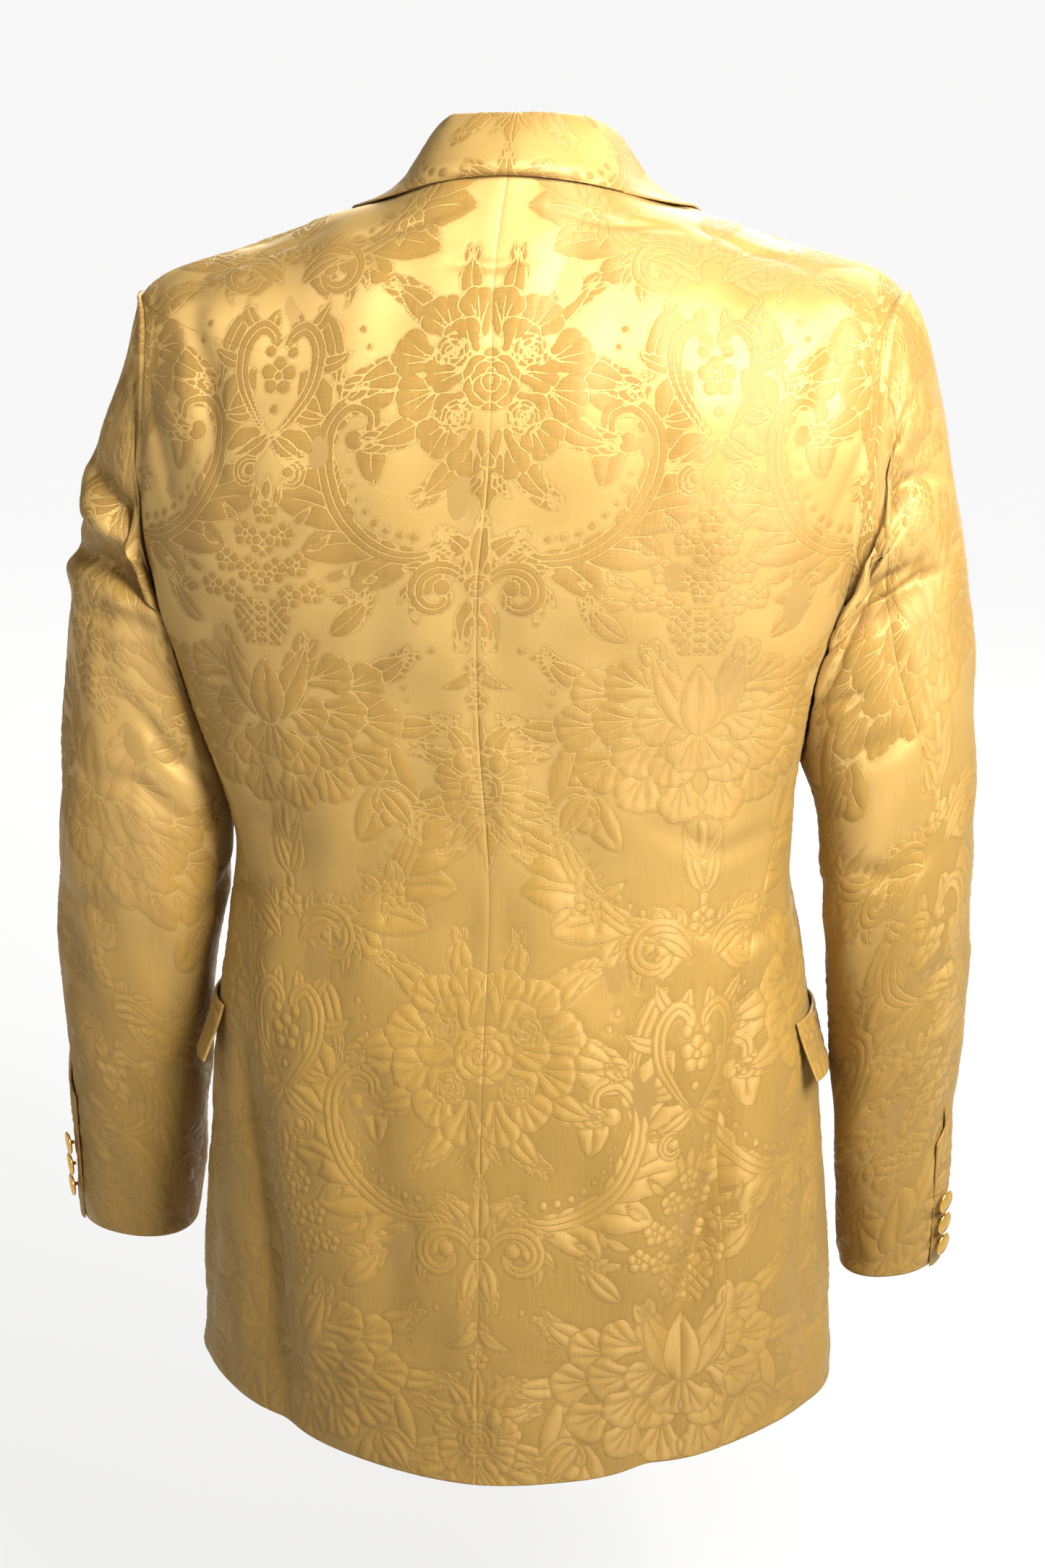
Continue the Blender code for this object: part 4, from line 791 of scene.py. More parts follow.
POSY_LEAVES = [
    Lobed(8, 356, -34, 34, 6.0, 24, 3, 0), Lobed(10, 372, 30, 34, 6.0, -24, 3, 0), Lobed(4, 348, -66, 32, 5.4, 30, 3, 0), Lobed(6, 386, 56, 30, 5.4, -20, 2, 0),
]
POSY_PETALS = [Petal(15, 360, -16, 14, 4, 3), Petal(12, 376, 36, 14, 4, 3), Petal(5, 352, -76, 13, 4, 2), Petal(3, 384, 84, 13, 4, 3)]
FLORETS = [
    Floret(128.5, 202, 7.5, 5), Floret(117, 215, 8, 5), Floret(128.5, 221, 8, 6), Floret(106, 232, 8, 5), Floret(120, 236, 8, 5), Floret(96, 248, 8, 5), Floret(110, 251, 8, 5), Floret(128.5, 244, 7, 5),
]
SPRIGS = [
    Leaf(128, 196, -90, 15, 2.6, 0), Leaf(124, 198, -116, 14, 2.3, 30), Leaf(112, 208, -150, 15, 2.4, 30), Leaf(100, 222, -160, 15, 2.4, 34), Leaf(90, 240, -168, 18, 2.6, 34),
    Leaf(86, 250, 176, 16, 2.5, -34), Leaf(76, 238, -120, 11, 2.0, 20), Leaf(78, 246, 150, 11, 2.0, 20), Leaf(66, 240, -160, 9, 1.9, 0),
    Leaf(2, 286, 76, 16, 2.7, -30), Leaf(1, 292, 60, 22, 3.2, -56), Leaf(0.5, 300, 90, 22, 3.0, 0), Leaf(10, 320, 40, 12, 2.2, 40), Leaf(14, 332, -20, 12, 2.2, 40),
    Leaf(60, 30, 60, 16, 2.8, 40), Leaf(66, 26, -10, 16, 2.8, -40), Leaf(54, 24, -96, 14, 2.6, 30), Leaf(48, 34, 150, 14, 2.6, -30),
]


def draw_damask():
    f, side, mm = Figure(), REPEAT_WIDE / 2, 0.001
    half = side / mm

    def lobes(rows):
        for row in rows:
            lobed(f, (row.x * mm, row.y * mm), row.angle, row.long * mm, row.wide * 1.2 * mm, row.bend, row.lobes, row.side)

    def petals(rows):
        for row in rows:
            petal(f, (row.x * mm, row.y * mm), row.heading, row.size * 1.08 * mm, row.lobes, row.lines)

    # long scrolls that join the two columns
    acanthus(f, through([(half - 5, 452), (half - 24, 458), (half - 48, 450), (half - 70, 430), (half - 84, 402), (half - 86, 380), (half - 74, 368), (half - 64, 378), (half - 70, 388)], 70), 4.4 * mm, 8, 36 * mm, side=-1)
    acanthus(f, through([(14, 214), (36, 224), (60, 220), (82, 202), (94, 176), (94, 152), (82, 138), (68, 142), (68, 155), (78, 158)], 70), 4.6 * mm, 8, 36 * mm, side=1)
    beads(f, through([(38, 212), (56, 208), (72, 194), (80, 176)]), 8, 2.8 * mm, 1.4 * mm)
    beads(f, through([(half - 30, 446), (half - 46, 438), (half - 60, 424), (half - 70, 404)]), 8, 2.6 * mm, 1.3 * mm)

    # the centre-back column: a bouquet over a pair of volutes
    lobes(BOUQUET_LEAVES)
    petals(BOUQUET_PETALS)
    rose(f, (0.0, 122 * mm), 17 * mm, 90)
    rose(f, (25 * mm, 107 * mm), 9.5 * mm, 20)
    rose(f, (19 * mm, 143 * mm), 9.0 * mm, 50)
    leaf(f, (0.0, 172 * mm), 90, 26 * mm, 6.5 * mm, 0)
    leaf(f, (3 * mm, 174 * mm), 62, 20 * mm, 3.6 * mm, -20)
    lobed(f, (2 * mm, 226 * mm), -52, 30 * mm, 6.0 * mm, 30, 3, 0)
    lobed(f, (0.0, 230 * mm), -90, 32 * mm, 6.0 * mm, 0, 3, 0)
    scroll(f, (23 * mm, 245 * mm), 19 * mm, 195, 1.10, 4.6 * mm, 1, 5, 15 * mm)
    lobed(f, (1 * mm, 248 * mm), 66, 34 * mm, 6.4 * mm, 24, 3, 0)
    f.lay([([(0, 240 * mm)] * 2, [7.0 * mm] * 2)])
    f.lay([([(0, 240 * mm)] * 2, [3.0 * mm] * 2)])

    # the other column: paired curling leaves, a flower in a heart, a cone of florets on a trellis, a spread of petals
    scroll(f, ((half - 29) * mm, 62 * mm), 20 * mm, -20, 1.05, 4.8 * mm, -1, 6, 16 * mm)
    lobed(f, ((half - 8) * mm, 66 * mm), 236, 34 * mm, 6.0 * mm, -60, 3, -1)
    lobed(f, ((half - 22) * mm, 84 * mm), 128, 62 * mm, 6.4 * mm, -50, 4, 1)
    heart = through([(half - 2, 158), (half - 12, 146), (half - 22, 128), (half - 23, 108), (half - 14, 96), (half - 5, 102), (half - 7, 110)], 44)
    for place, heading, long in ((8, 150, 20), (18, 178, 24), (27, 214, 22), (34, 250, 16)):
        lobe = curved(heart[place], heading, long * mm, 50, 8)
        f.lay([(lobe, [3.0 * mm, 4.6 * mm, 4.4 * mm, 2.6 * mm, 0.4 * mm])], [(lobe, 0.85)])
    f.lay([(heart, [1.6 * mm, 3.4 * mm, 4.6 * mm, 4.0 * mm, 3.0 * mm])], [(heart, 0.9)])
    f.lay([([heart[-1]] * 2, [3.6 * mm] * 2)])
    floret(f, (side, 124 * mm), 11.5 * mm, 5)
    f.lay([([(side, 143 * mm)] * 2, [3.0 * mm] * 2)])
    lobed(f, ((half - 2) * mm, 158 * mm), 128, 32 * mm, 5.2 * mm, 50, 3, 0)
    scroll(f, ((half - 13) * mm, 180 * mm), 9 * mm, -60, 1.0, 3.0 * mm, -1)
    for row in SPRIGS:
        leaf(f, (row.x * mm, row.y * mm), row.angle, row.long * 1.1 * mm, row.wide * 1.25 * mm, row.bend, 0.0)
    lobes(SPREAD_LEAVES)
    petals(SPREAD_PETALS)
    trellis = [([(side - wide * mm, y * mm), (side + 0.001, y * mm)], [4.2 * mm] * 2) for y, wide in ((258, 14), (265, 15), (272, 13), (279, 9))]
    bars = [([(side - (24 - 5.6 * k) * mm, 252 * mm), (side - (24 - 5.6 * k) * mm + 30 * mm, 288 * mm)], 1.0) for k in range(7)]
    bars += [([(side - (24 - 5.6 * k) * mm + 24 * mm, 252 * mm), (side - (24 - 5.6 * k) * mm - 6 * mm, 288 * mm)], 1.0) for k in range(7)]
    f.lay(trellis, bars)
    for row in FLORETS:
        floret(f, (row.x * mm, row.y * mm), row.radius * mm, row.petals)
    lobed(f, (side, 332 * mm), 232, 66 * mm, 11 * mm, 22, 3, 0)
    leaf(f, (side, 334 * mm), -90, 44 * mm, 12 * mm, 0)
    petals([Petal(half - 8, 346, 118, 14, 3, 2)])
    f.lay([(through([(half, 392), (half, 420), (half, 446)]), [3.2 * mm, 2.2 * mm, 3.0 * mm])])
    lobed(f, ((half - 1) * mm, 432 * mm), 236, 34 * mm, 5.4 * mm, 46, 3, 0)
    leaf(f, ((half - 1) * mm, 414 * mm), 226, 26 * mm, 3.6 * mm, 40)
    floret(f, (side, 450 * mm), 9 * mm, 6)
    floret(f, (58 * mm, 30 * mm), 8 * mm, 6)
    beads(f, through([(half - 50, 96), (half - 56, 112), (half - 54, 130), (half - 46, 146)]), 6, 2.4 * mm, 1.3 * mm)
    beads(f, through([(26, 280), (38, 288), (44, 300), (42, 314)]), 6, 2.4 * mm, 1.3 * mm)

    # a hanging posy that fills the centre-back column between two bouquets
    lobes(POSY_LEAVES)
    petals(POSY_PETALS)
    rose(f, (0.0, 366 * mm), 12 * mm, 40)
    leaf(f, (0.0, 384 * mm), 90, 34 * mm, 6.0 * mm, 0)
    leaf(f, (2 * mm, 384 * mm), 62, 26 * mm, 3.6 * mm, -22)
    leaf(f, (0.0, 344 * mm), -90, 28 * mm, 4.6 * mm, 0)
    floret(f, (0.0, 312 * mm), 7 * mm, 5)
    return f.finish()


DAMASK = draw_damask()


# ---------------------------------------------------------------- thin cloth shells
LEAF_CLOSER = 0.0012                      # how much nearer the collar's edge lies than the solid's
PUFF = 0.00075                            # how far the woven figure stands up
SEAM_DIP, SEAM_UNDER = 0.00034, 0.0010     # a seam's depth, and how far its turned edges pass under one another


def spread_out(points):
    """How far each point of a grid is along its row and along its column, in metres."""
    across = np.linalg.norm(np.diff(points, axis=1), axis=-1)
    down = np.linalg.norm(np.diff(points, axis=0), axis=-1)
    return np.pad(np.cumsum(across, 1), ((0, 0), (1, 0))), np.pad(np.cumsum(down, 0), ((1, 0), (0, 0)))


def levels(lines, spacing, low, high, shares=None):
    """Values from low to high, spaced so that no line moves further than about the spacing between two of them."""
    dense = np.linspace(low, high, 1601)
    step = np.zeros(1600)
    for k, line in enumerate(lines):
        step = np.maximum(step, np.linalg.norm(np.diff(line(dense), axis=0), axis=-1) * (shares[k] if shares else 1))
    total = np.r_[0, np.cumsum(step)]
    count = max(3, int(math.ceil(total[-1] / spacing / 3)) * 3)
    return np.interp(np.linspace(0, total[-1], count + 1), total, dense)


def thirds(length, spacing):
    return max(3, int(math.ceil(length / spacing / 3)) * 3) + 1


def shares(length, spacing, close="both", step=0.0006):
    """Places from 0 to 1, evenly spaced but for a short step beside each close end, where a seam is."""
    count = thirds(length, spacing)
    low, high = (step / length if close in ("both", "low") else 0), (1 - step / length if close in ("both", "high") else 1)
    inner = np.linspace(low, high, count - (low > 0) - (high < 1))
    return np.r_[([0.0] if low > 0 else []), inner, ([1.0] if high < 1 else [])]


def normals_of(points):
    across, down = np.gradient(points, axis=1), np.gradient(points, axis=0)
    normal = np.cross(across, down)
    return normal / np.maximum(np.linalg.norm(normal, axis=-1, keepdims=True), 1e-12)


def shell(name, points, normals, cloth_u, cloth_v, seams=(), wall=WALL, relief=1.0, rise=None, ripple=1.0, inset=0.00055, seed=0.0):
    """A cloth piece as a closed thin shell on a grid of points. Borders named in seams dip into the seam; the others are rounded edges.
    The grid's borders: first_row, last_row, first_column, last_column. Its inner side has a third of the points each way."""
    along_row, along_column = spread_out(points)
    away = {
        "first_column": along_row, "last_column": along_row[:, -1:] - along_row,
        "first_row": along_column, "last_row": along_column[-1:] - along_column,
    }
    drawn = DAMASK.at(cloth_u, cloth_v)
    figure, near, thin, coded = drawn[..., 0], drawn[..., 1], drawn[..., 2], drawn[..., 3:]
    calm = np.ones(points.shape[:2])
    height = np.zeros(points.shape[:2])
    for border, distance in away.items():
        if border in seams:
            height -= SEAM_DIP * np.exp(-(distance / 0.0007) ** 2)
            height += 0.00005 * np.exp(-((distance - 0.0040) / 0.0025) ** 2)
            calm *= ease(0.0, 0.002, distance)
        else:
            calm *= ease(0.0002, 0.0030, distance)
    puff = np.where(figure > 0, PUFF * (1 - np.exp(-np.clip(near, 0, 1) / 0.0022)), 0) - PUFF * 0.35 * np.exp(-(np.minimum(figure, 0) / 0.0011) ** 2)
    # the figure stands flatter over the back and shoulders, where the cloth is pulled smooth, than in the skirt
    height += relief * (0.65 + 0.85 * ease(0.22, 0.50, cloth_v)) * calm * puff + ripple * swell(cloth_u, cloth_v, seed) * ease(0, 0.012, np.minimum.reduce(list(away.values())))
    if rise is not None:
        height += rise

    free = [b for b in away if b not in seams]
    edge = points
    outer = pull_in(edge + normals * height[..., None], free, inset)
    inner_all = pull_in(edge, free, inset) - normals * wall
    middle_all = pull_in(edge, [b for b in away if b in seams], -SEAM_UNDER) - normals * (wall * 0.6) + normals * height[..., None] * 0.4
    inner = inner_all[::3, ::3]
    rows, columns = points.shape[:2]
    small_rows, small_columns = inner.shape[:2]

    around = [(0, j) for j in range(columns)] + [(i, columns - 1) for i in range(1, rows)]
    around += [(rows - 1, j) for j in range(columns - 2, -1, -1)] + [(i, 0) for i in range(rows - 2, 0, -1)]
    around = np.array(around)
    middle = middle_all[around[:, 0], around[:, 1]]
    coordinates = np.concatenate([outer.reshape(-1, 3), inner.reshape(-1, 3), middle])
    first_inner, first_middle = rows * columns, rows * columns + small_rows * small_columns

    index = np.arange(rows * columns).reshape(rows, columns)
    small = first_inner + np.arange(small_rows * small_columns).reshape(small_rows, small_columns)
    front = np.stack([index[:-1, :-1], index[:-1, 1:], index[1:, 1:], index[1:, :-1]], -1).reshape(-1, 4)
    back = np.stack([small[:-1, :-1], small[1:, :-1], small[1:, 1:], small[:-1, 1:]], -1).reshape(-1, 4)
    ring = index[around[:, 0], around[:, 1]]
    mid = first_middle + np.arange(len(around))
    rim = np.stack([np.roll(ring, -1), ring, mid, np.roll(mid, -1)], -1)
    third = around[::3] // 3
    inner_ring = small[third[:, 0], third[:, 1]]
    k = np.arange(0, len(around), 3)
    m = len(around)
    hexes = np.stack([mid[(k + 3) % m], mid[(k + 2) % m], mid[(k + 1) % m], mid[k], inner_ring, np.roll(inner_ring, -1)], -1)

    # the grid's own turning sense decides which way round the faces go
    centre = (rows // 2, columns // 2)
    turn = np.cross(points[centre[0], centre[1] + 1] - points[centre], points[centre[0] + 1, centre[1]] - points[centre]) @ normals[centre]
    groups = [front, back, rim, hexes]
    if turn < 0:
        groups = [g[:, ::-1] for g in groups]
    mesh = bpy.data.meshes.new(name + "_cloth")
    loops = np.concatenate([g.reshape(-1) for g in groups]).astype(np.int32)
    sizes = np.concatenate([np.full(len(g), g.shape[1]) for g in groups])
    mesh.vertices.add(len(coordinates))
    mesh.vertices.foreach_set("co", coordinates.astype(np.float32).reshape(-1))
    mesh.loops.add(len(loops))
    mesh.loops.foreach_set("vertex_index", loops)
    mesh.polygons.add(len(sizes))
    mesh.polygons.foreach_set("loop_start", np.r_[0, np.cumsum(sizes)[:-1]].astype(np.int32))
    mesh.update(calc_edges=True)

    def everywhere(values, reverse=None):
        reverse = values if reverse is None else reverse
        return np.concatenate([values.reshape(-1), reverse[::3, ::3].reshape(-1), values[around[:, 0], around[:, 1]]])

    u, v = everywhere(cloth_u), everywhere(cloth_v)
    layer = mesh.uv_layers.new(name="cloth")
    layer.data.foreach_set("uv", np.stack([u[loops], -v[loops]], -1).astype(np.float32).reshape(-1))
    plain = figure * 0
    for attribute, values in (("figure", everywhere(figure * 1000, plain - 9)), ("thin", everywhere(thin, plain)), ("inward", everywhere(plain, plain + 1))):
        made = mesh.attributes.new(attribute, "FLOAT", "POINT")
        made.data.foreach_set("value", values.astype(np.float32))
    made = mesh.attributes.new("coded", "FLOAT_VECTOR", "POINT")
    made.data.foreach_set("vector", np.stack([everywhere(coded[..., k] * 1000, plain + 9) for k in range(3)], -1).astype(np.float32).reshape(-1))
    mesh.polygons.foreach_set("use_smooth", np.ones(len(sizes), bool))
    mesh.validate()
    obj = bpy.data.objects.new(name + "_cloth", mesh)
    bpy.context.scene.collection.objects.link(obj)
    return obj


# ---------------------------------------------------------------- where each place of the form lies on the cut cloth
def level_lengths(front):
    """On planes of constant x, how far up the cloth each ring of the upper body lies from ring 5."""
    r = np.linspace(5, 9, 121)
    x = np.linspace(0, 0.232, 90)
    theta = np.linspace(math.pi / 2, math.pi, 200)[::-1] if front else np.linspace(0, math.pi / 2, 200)
    places = body(theta[None, :], r[:, None])
    up = np.zeros((len(r), len(x)))
    last = None
    for i in range(len(r)):
        px = places[i, :, 0] - ring_value("shift_x", r[i])
        y, z = np.interp(x, px, places[i, :, 1]), np.interp(x, px, places[i, :, 2])
        if last is not None:
            still = x <= px.max() + 0.004
            up[i] = up[i - 1] + np.where(still, np.hypot(y - last[0], z - last[1]), 0)
        last = (y, z)
    return r, x, up


LEVELS = {False: level_lengths(False), True: level_lengths(True)}
WAIST_TO_CHEST = 0.245     # from the neck down the cloth to ring 5 at the centre back


def body_cloth(side, theta, r):
    """(u, v) on the cloth: u across from the centre back, v down from the neck. theta is the unsigned angle."""
    sign = SIDES[side]
    # down the cloth, below ring 5: along the ring's own drop
    drop = np.linspace(0, 5, 160)
    angles = np.linspace(0, math.pi, 60)
    places = body(sign * angles[None, :], drop[:, None])
    lengths = np.pad(np.cumsum(np.linalg.norm(np.diff(places, axis=0), axis=-1), 0), ((1, 0), (0, 0)))
    below = lengths[-1:] - lengths
    around_row = np.pad(np.cumsum(np.linalg.norm(np.diff(body(sign * np.linspace(0, math.pi, 181)[None, :], np.linspace(0, 9, 181)[:, None]), axis=1), axis=-1), 1), ((0, 0), (1, 0)))

    def look(table, i, j):
        i, j = np.clip(i, 0, table.shape[0] - 1.001), np.clip(j, 0, table.shape[1] - 1.001)
        a, b = i.astype(int), j.astype(int)
        fi, fj = i - a, j - b
        return (table[a, b] * (1 - fj) + table[a, b + 1] * fj) * (1 - fi) + (table[a + 1, b] * (1 - fj) + table[a + 1, b + 1] * fj) * fi

    theta, r = np.broadcast_arrays(theta, r)
    v_low = WAIST_TO_CHEST + look(below, np.clip(r, 0, 5) / 5 * 159, theta / math.pi * 59)
    point = body(sign * theta, r)
    x = np.abs(point[..., 0] - ring_value("shift_x", r))
    upper = np.zeros(theta.shape)
    for front in (False, True):
        table_r, table_x, up = LEVELS[front]
        value = look(up, (r - 5) / 4 * 120, x / 0.232 * 89)
        share = ease(math.radians(84), math.radians(96), theta)
        upper += value * (share if front else 1 - share)
    v = np.where(r < 5, v_low, WAIST_TO_CHEST - upper)
    across = look(around_row, r / 9 * 180, theta / math.pi * 180)
    plain = x * 1.04 + 0.004
    blend = ease(6.2, 8.2, r) * (theta < math.pi / 2 + 0.2)
    return across * (1 - blend) + plain * blend, v


# ---------------------------------------------------------------- limits of the panels, smooth along the armhole
TOP_PHI = math.radians(144)      # the side panel takes the armhole's lowest part, this far each way from its top
TOP_THETA_BACK, TOP_R = (float(a) for a in armhole_rim(np.array(TOP_PHI)))
TOP_THETA_FRONT = float(armhole_rim(np.array(-TOP_PHI))[0])


def rim_theta(r, back):
    q = np.clip((r - (ARMHOLE_LOW + SHOULDER_TIP) / 2) / ((SHOULDER_TIP - ARMHOLE_LOW) / 2), -1, 1)
    cosine = np.sign(q) * np.abs(q) ** 1.3
    return math.pi / 2 + armhole_cut(back, cosine)


def side_seam(table, r, top_theta):
    low = np.radians(along(table, "at", "degrees", np.minimum(r, 4.4)))
    return np.where(r <= 4.4, low, low + (top_theta - low) * np.clip((r - 4.4) / (TOP_R - 4.4), 0, 1))


def back_limit(r):
    return np.where(r < TOP_R, side_seam(SIDE_BACK_SEAM, r, TOP_THETA_BACK), np.where(r <= SHOULDER_TIP, rim_theta(r, True), math.pi / 2))


def front_limit(r):
    return np.where(r < TOP_R, side_seam(SIDE_FRONT_SEAM, r, TOP_THETA_FRONT), np.where(r <= SHOULDER_TIP, rim_theta(r, False), math.pi / 2))


SPACING = {"back": 0.0016, "side": 0.0024, "front": 0.0026, "sleeve": 0.0020, "lapel": 0.0022, "leaf": 0.0016, "stand": 0.0030, "flap": 0.0016}


def back_panel(side):
    sign = SIDES[side]
    r = levels([lambda a: body(sign * 0.0, a), lambda a: body(sign * back_limit(a), a)], SPACING["back"], 0, 9, (1, 0.62))
    theta = shares(0.205, SPACING["back"])[None, :] * back_limit(r)[:, None]
    rows = r[:, None] + 0 * theta
    points, normals = on_body(sign * theta, rows)
    u, v = body_cloth(side, theta, rows)
    return shell(f"back_{side}", points, normals, u * sign, v, ("first_column", "last_column", "last_row"))


def side_panel(side):
    sign, low_r = SIDES[side], 3.95
    phi = TOP_PHI + (2 * math.pi - 2 * TOP_PHI) * shares(0.165, SPACING["side"])
    top_theta, top_r = armhole_rim(phi)
    share = (top_theta - top_theta[0]) / (top_theta[-1] - top_theta[0])
    level = levels([lambda a: body(sign * math.radians(70), a)], SPACING["side"], 0, float(top_r[0]))
    rows = np.where(level[:, None] <= low_r, level[:, None], low_r + (level[:, None] - low_r) * (top_r[None, :] - low_r) / (top_r[0] - low_r))
    first, last = side_seam(SIDE_BACK_SEAM, level, top_theta[0]), side_seam(SIDE_FRONT_SEAM, level, top_theta[-1])
    theta = first[:, None] + (last - first)[:, None] * share[None, :]
    points, normals = on_body(sign * theta, rows)
    u, v = body_cloth(side, theta, rows)
    return shell(f"side_{side}", points, normals, (u + 0.022) * sign, v + 0.018, ("first_column", "last_column", "last_row"), seed=1.0)


def front_panel(side):
    sign = SIDES[side]
    r = levels([lambda a: body(sign * math.radians(150), a), lambda a: body(sign * front_limit(a), a)], SPACING["front"], 0, 9, (1, 0.62))
    first, last = front_limit(r), front_edge_theta(side, r)
    theta = first[:, None] + (last - first)[:, None] * shares(0.215, SPACING["front"], "low")[None, :]
    rows = r[:, None] + 0 * theta
    points, normals = on_body(sign * theta, rows, front_lift(side, theta, rows))
    u, v = body_cloth(side, theta, rows)
    return shell(f"front_{side}", points, normals, (u + 0.041) * sign, v + 0.030, ("first_column", "last_row"), seed=2.0)


def lapel(side):
    e = np.linspace(0, 1, thirds(0.085, SPACING["lapel"]))
    t = np.linspace(0.12 if side == "left" else 0.18, 1, thirds(0.25, SPACING["lapel"]))
    roll_z = BREAK_Z + (GORGE_Z - BREAK_Z) * t
    inner_x = roll_x(roll_z) + 0.0006
    if side == "right":
        inner_x = np.maximum(inner_x, -roll_x(roll_z) + 0.0022)
    edge_x, edge_z = along(LAPEL_EDGE, "t", "x", t), along(LAPEL_EDGE, "t", "z", t)
    x = inner_x[:, None] + (edge_x - inner_x)[:, None] * e[None, :]
    z = roll_z[:, None] + (edge_z - roll_z)[:, None] * e[None, :]
    # the places on the form are found for every sixth point, and the rest lie between them
    some_t, some_e = np.unique(np.r_[np.arange(0, len(t), 6), len(t) - 1]), np.unique(np.r_[np.arange(0, len(e), 4), len(e) - 1])
    theta_s, r_s = on_front(side, x[np.ix_(some_t, some_e)], z[np.ix_(some_t, some_e)])

    def fill(table):
        wide = np.stack([smooth(e[some_e], row, e) for row in table])
        return np.stack([smooth(t[some_t], column_, t) for column_ in wide.T], -1)

    theta, r = fill(theta_s), fill(r_s)
    roll = 0.0022 * np.exp(-(e / 0.10) ** 2)[None, :] * ease(0.10, 0.30, t)[:, None]
    lift = WALL + 2 * LAY_GAP + front_lift(side, theta, r) + 0.0014 * np.sin(math.pi * e)[None, :] + roll * 0
    points, normals = on_body(SIDES[side] * theta, r, lift)
    across, down = spread_out(points)
    return shell(f"lapel_{side}", points, normals, (across + 0.012) * SIDES[side], 0.30 - down, (), ripple=0.4, relief=0.9, seed=3.0)


def leaf_grid(s, p):
    fold, mid, edge = collar_curves(s)
    edge = edge - body_normal(np.sign(s) * np.radians(along(COLLAR, "s", "edge_deg", np.abs(s))), along(COLLAR, "s", "edge_r", np.abs(s))) * LEAF_CLOSER
    tuck = fold + inward(fold) * 0.0034 - np.array([0, 0, 0.0045])
    knots = [0, 0.10, 0.52, 1.0]
    stations = np.stack([tuck, fold, mid, edge])
    points = np.stack([[smooth(knots, stations[:, i, k], p) for k in range(3)] for i in range(len(s))])
    return np.moveaxis(points, 1, 2), tuck


def collar_leaf():
    s = np.linspace(-1, 1, thirds(0.44, SPACING["leaf"]))
    p = np.linspace(0, 1, thirds(0.056, SPACING["leaf"]))
    points, _ = leaf_grid(s, p)
    normals = normals_of(points)
    middle = len(s) // 2
    if normals[middle, int(len(p) * 0.7)] @ np.array([0, 1, 0.3]) < 0:
        normals = -normals
    across, down = spread_out(points)
    mid_row = down[:, len(p) // 2]
    u = (mid_row - mid_row[middle])[:, None] + 0 * across
    return shell("collar_leaf", points, normals, u, across + 0.165, ("first_column",), ripple=0.3, relief=0.9, wall=0.0012)


def collar_stand():
    s = np.linspace(-0.68, 0.68, thirds(0.30, SPACING["stand"]))
    fold, mid, edge = collar_curves(s)
    tuck = fold + inward(fold) * 0.0034 - np.array([0, 0, 0.0045])
    base, base_n = on_body(np.radians(s / 0.68 * STAND_ENDS_DEG), np.full(len(s), NECKLINE))
    base = base + np.array([0, 0, 0.0030]) - base_n * WALL * 1.2
    p = np.linspace(0, 1, thirds(0.036, SPACING["stand"]))
    points = base[:, None] + (tuck - base)[:, None] * p[None, :, None]
    points = pull_in(points, ("last_column",), 0.0042)
    normals = normals_of(points)
    if normals[len(s) // 2, len(p) // 2] @ np.array([0, -1, 0]) < 0:
        normals = -normals
    across, down = spread_out(points)
    return shell("collar_stand", points, normals, down - 0.15, across + 0.165, ("first_column", "last_column"), ripple=0, relief=0.6, wall=0.0012)


def sleeve_cloth(side, phi, v):
    """(u, v) on a sleeve's cloth: u round from its outer line, v down from the armhole."""
    line = np.linspace(0, 1, 201)
    angles = np.linspace(-math.pi, math.pi * 1.5, 121)
    places = sleeve(side, angles[None, :], line[:, None])
    down = np.pad(np.cumsum(np.linalg.norm(np.diff(places, axis=0), axis=-1), 0), ((1, 0), (0, 0)))
    down = down - down[66:67] + down[66:67, 48:49]
    round_ = np.pad(np.cumsum(np.linalg.norm(np.diff(places, axis=1), axis=-1), 1), ((0, 0), (1, 0)))
    i, j = np.clip(v * 200, 0, 199.999), np.clip((phi + math.pi) / (2.5 * math.pi) * 120, 0, 119.999)
    a, b = i.astype(int), j.astype(int)
    fi, fj = i - a, j - b

    def look(t):
        return (t[a, b] * (1 - fj) + t[a, b + 1] * fj) * (1 - fi) + (t[a + 1, b] * (1 - fj) + t[a + 1, b + 1] * fj) * fi

    zero = round_[:, 48:49]
    return look(round_ - zero), look(down)


def sleeve_head(phi, v):
    """The padded head of a sleeve, just below its seam, over the shoulder."""
    wrapped = (phi + math.pi) % (2 * math.pi) - math.pi
    over = ease(math.radians(-105), math.radians(-40), wrapped) * (1 - ease(math.radians(50), math.radians(125), wrapped))
    return over * 0.0022 * np.exp(-((v - 0.024) / 0.016) ** 2) * ease(0, 0.010, v)


def sleeve_piece(side, name, first, last, length, seams, lift=False, seed=0.0):
    v = levels([lambda a: sleeve(side, 0.0 * a, a), lambda a: sleeve(side, math.pi / 2 + 0 * a, a), lambda a: sleeve(side, -math.pi / 2 + 0 * a, a)], SPACING["sleeve"], 0, 1)
    share = shares(length, SPACING["sleeve"])
    start, end = first(v), last(v)
    phi = start[:, None] + (end - start)[:, None] * share[None, :]
    rows = v[:, None] + 0 * phi
    raised = upper_lift(side, phi, rows) if lift else 0 * phi
    points, normals = on_sleeve(side, phi, rows, raised)
    u, down = sleeve_cloth(side, phi, rows)
    shift = 0.061 if side == "left" else 0.070
    return shell(f"sleeve_{name}_{side}", points, normals, (u + shift) * SIDES[side], down + (0.055 if side == "left" else 0.160), seams, rise=sleeve_head(phi, rows), seed=seed)


def sleeve_upper(side):
    return sleeve_piece(side, "upper", lambda v: np.full(len(v), math.radians(INNER_SEAM - 360)), lambda v: upper_phi_limit(side, v), 0.235, ("first_row", "first_column", "last_column"), True, 4.0)


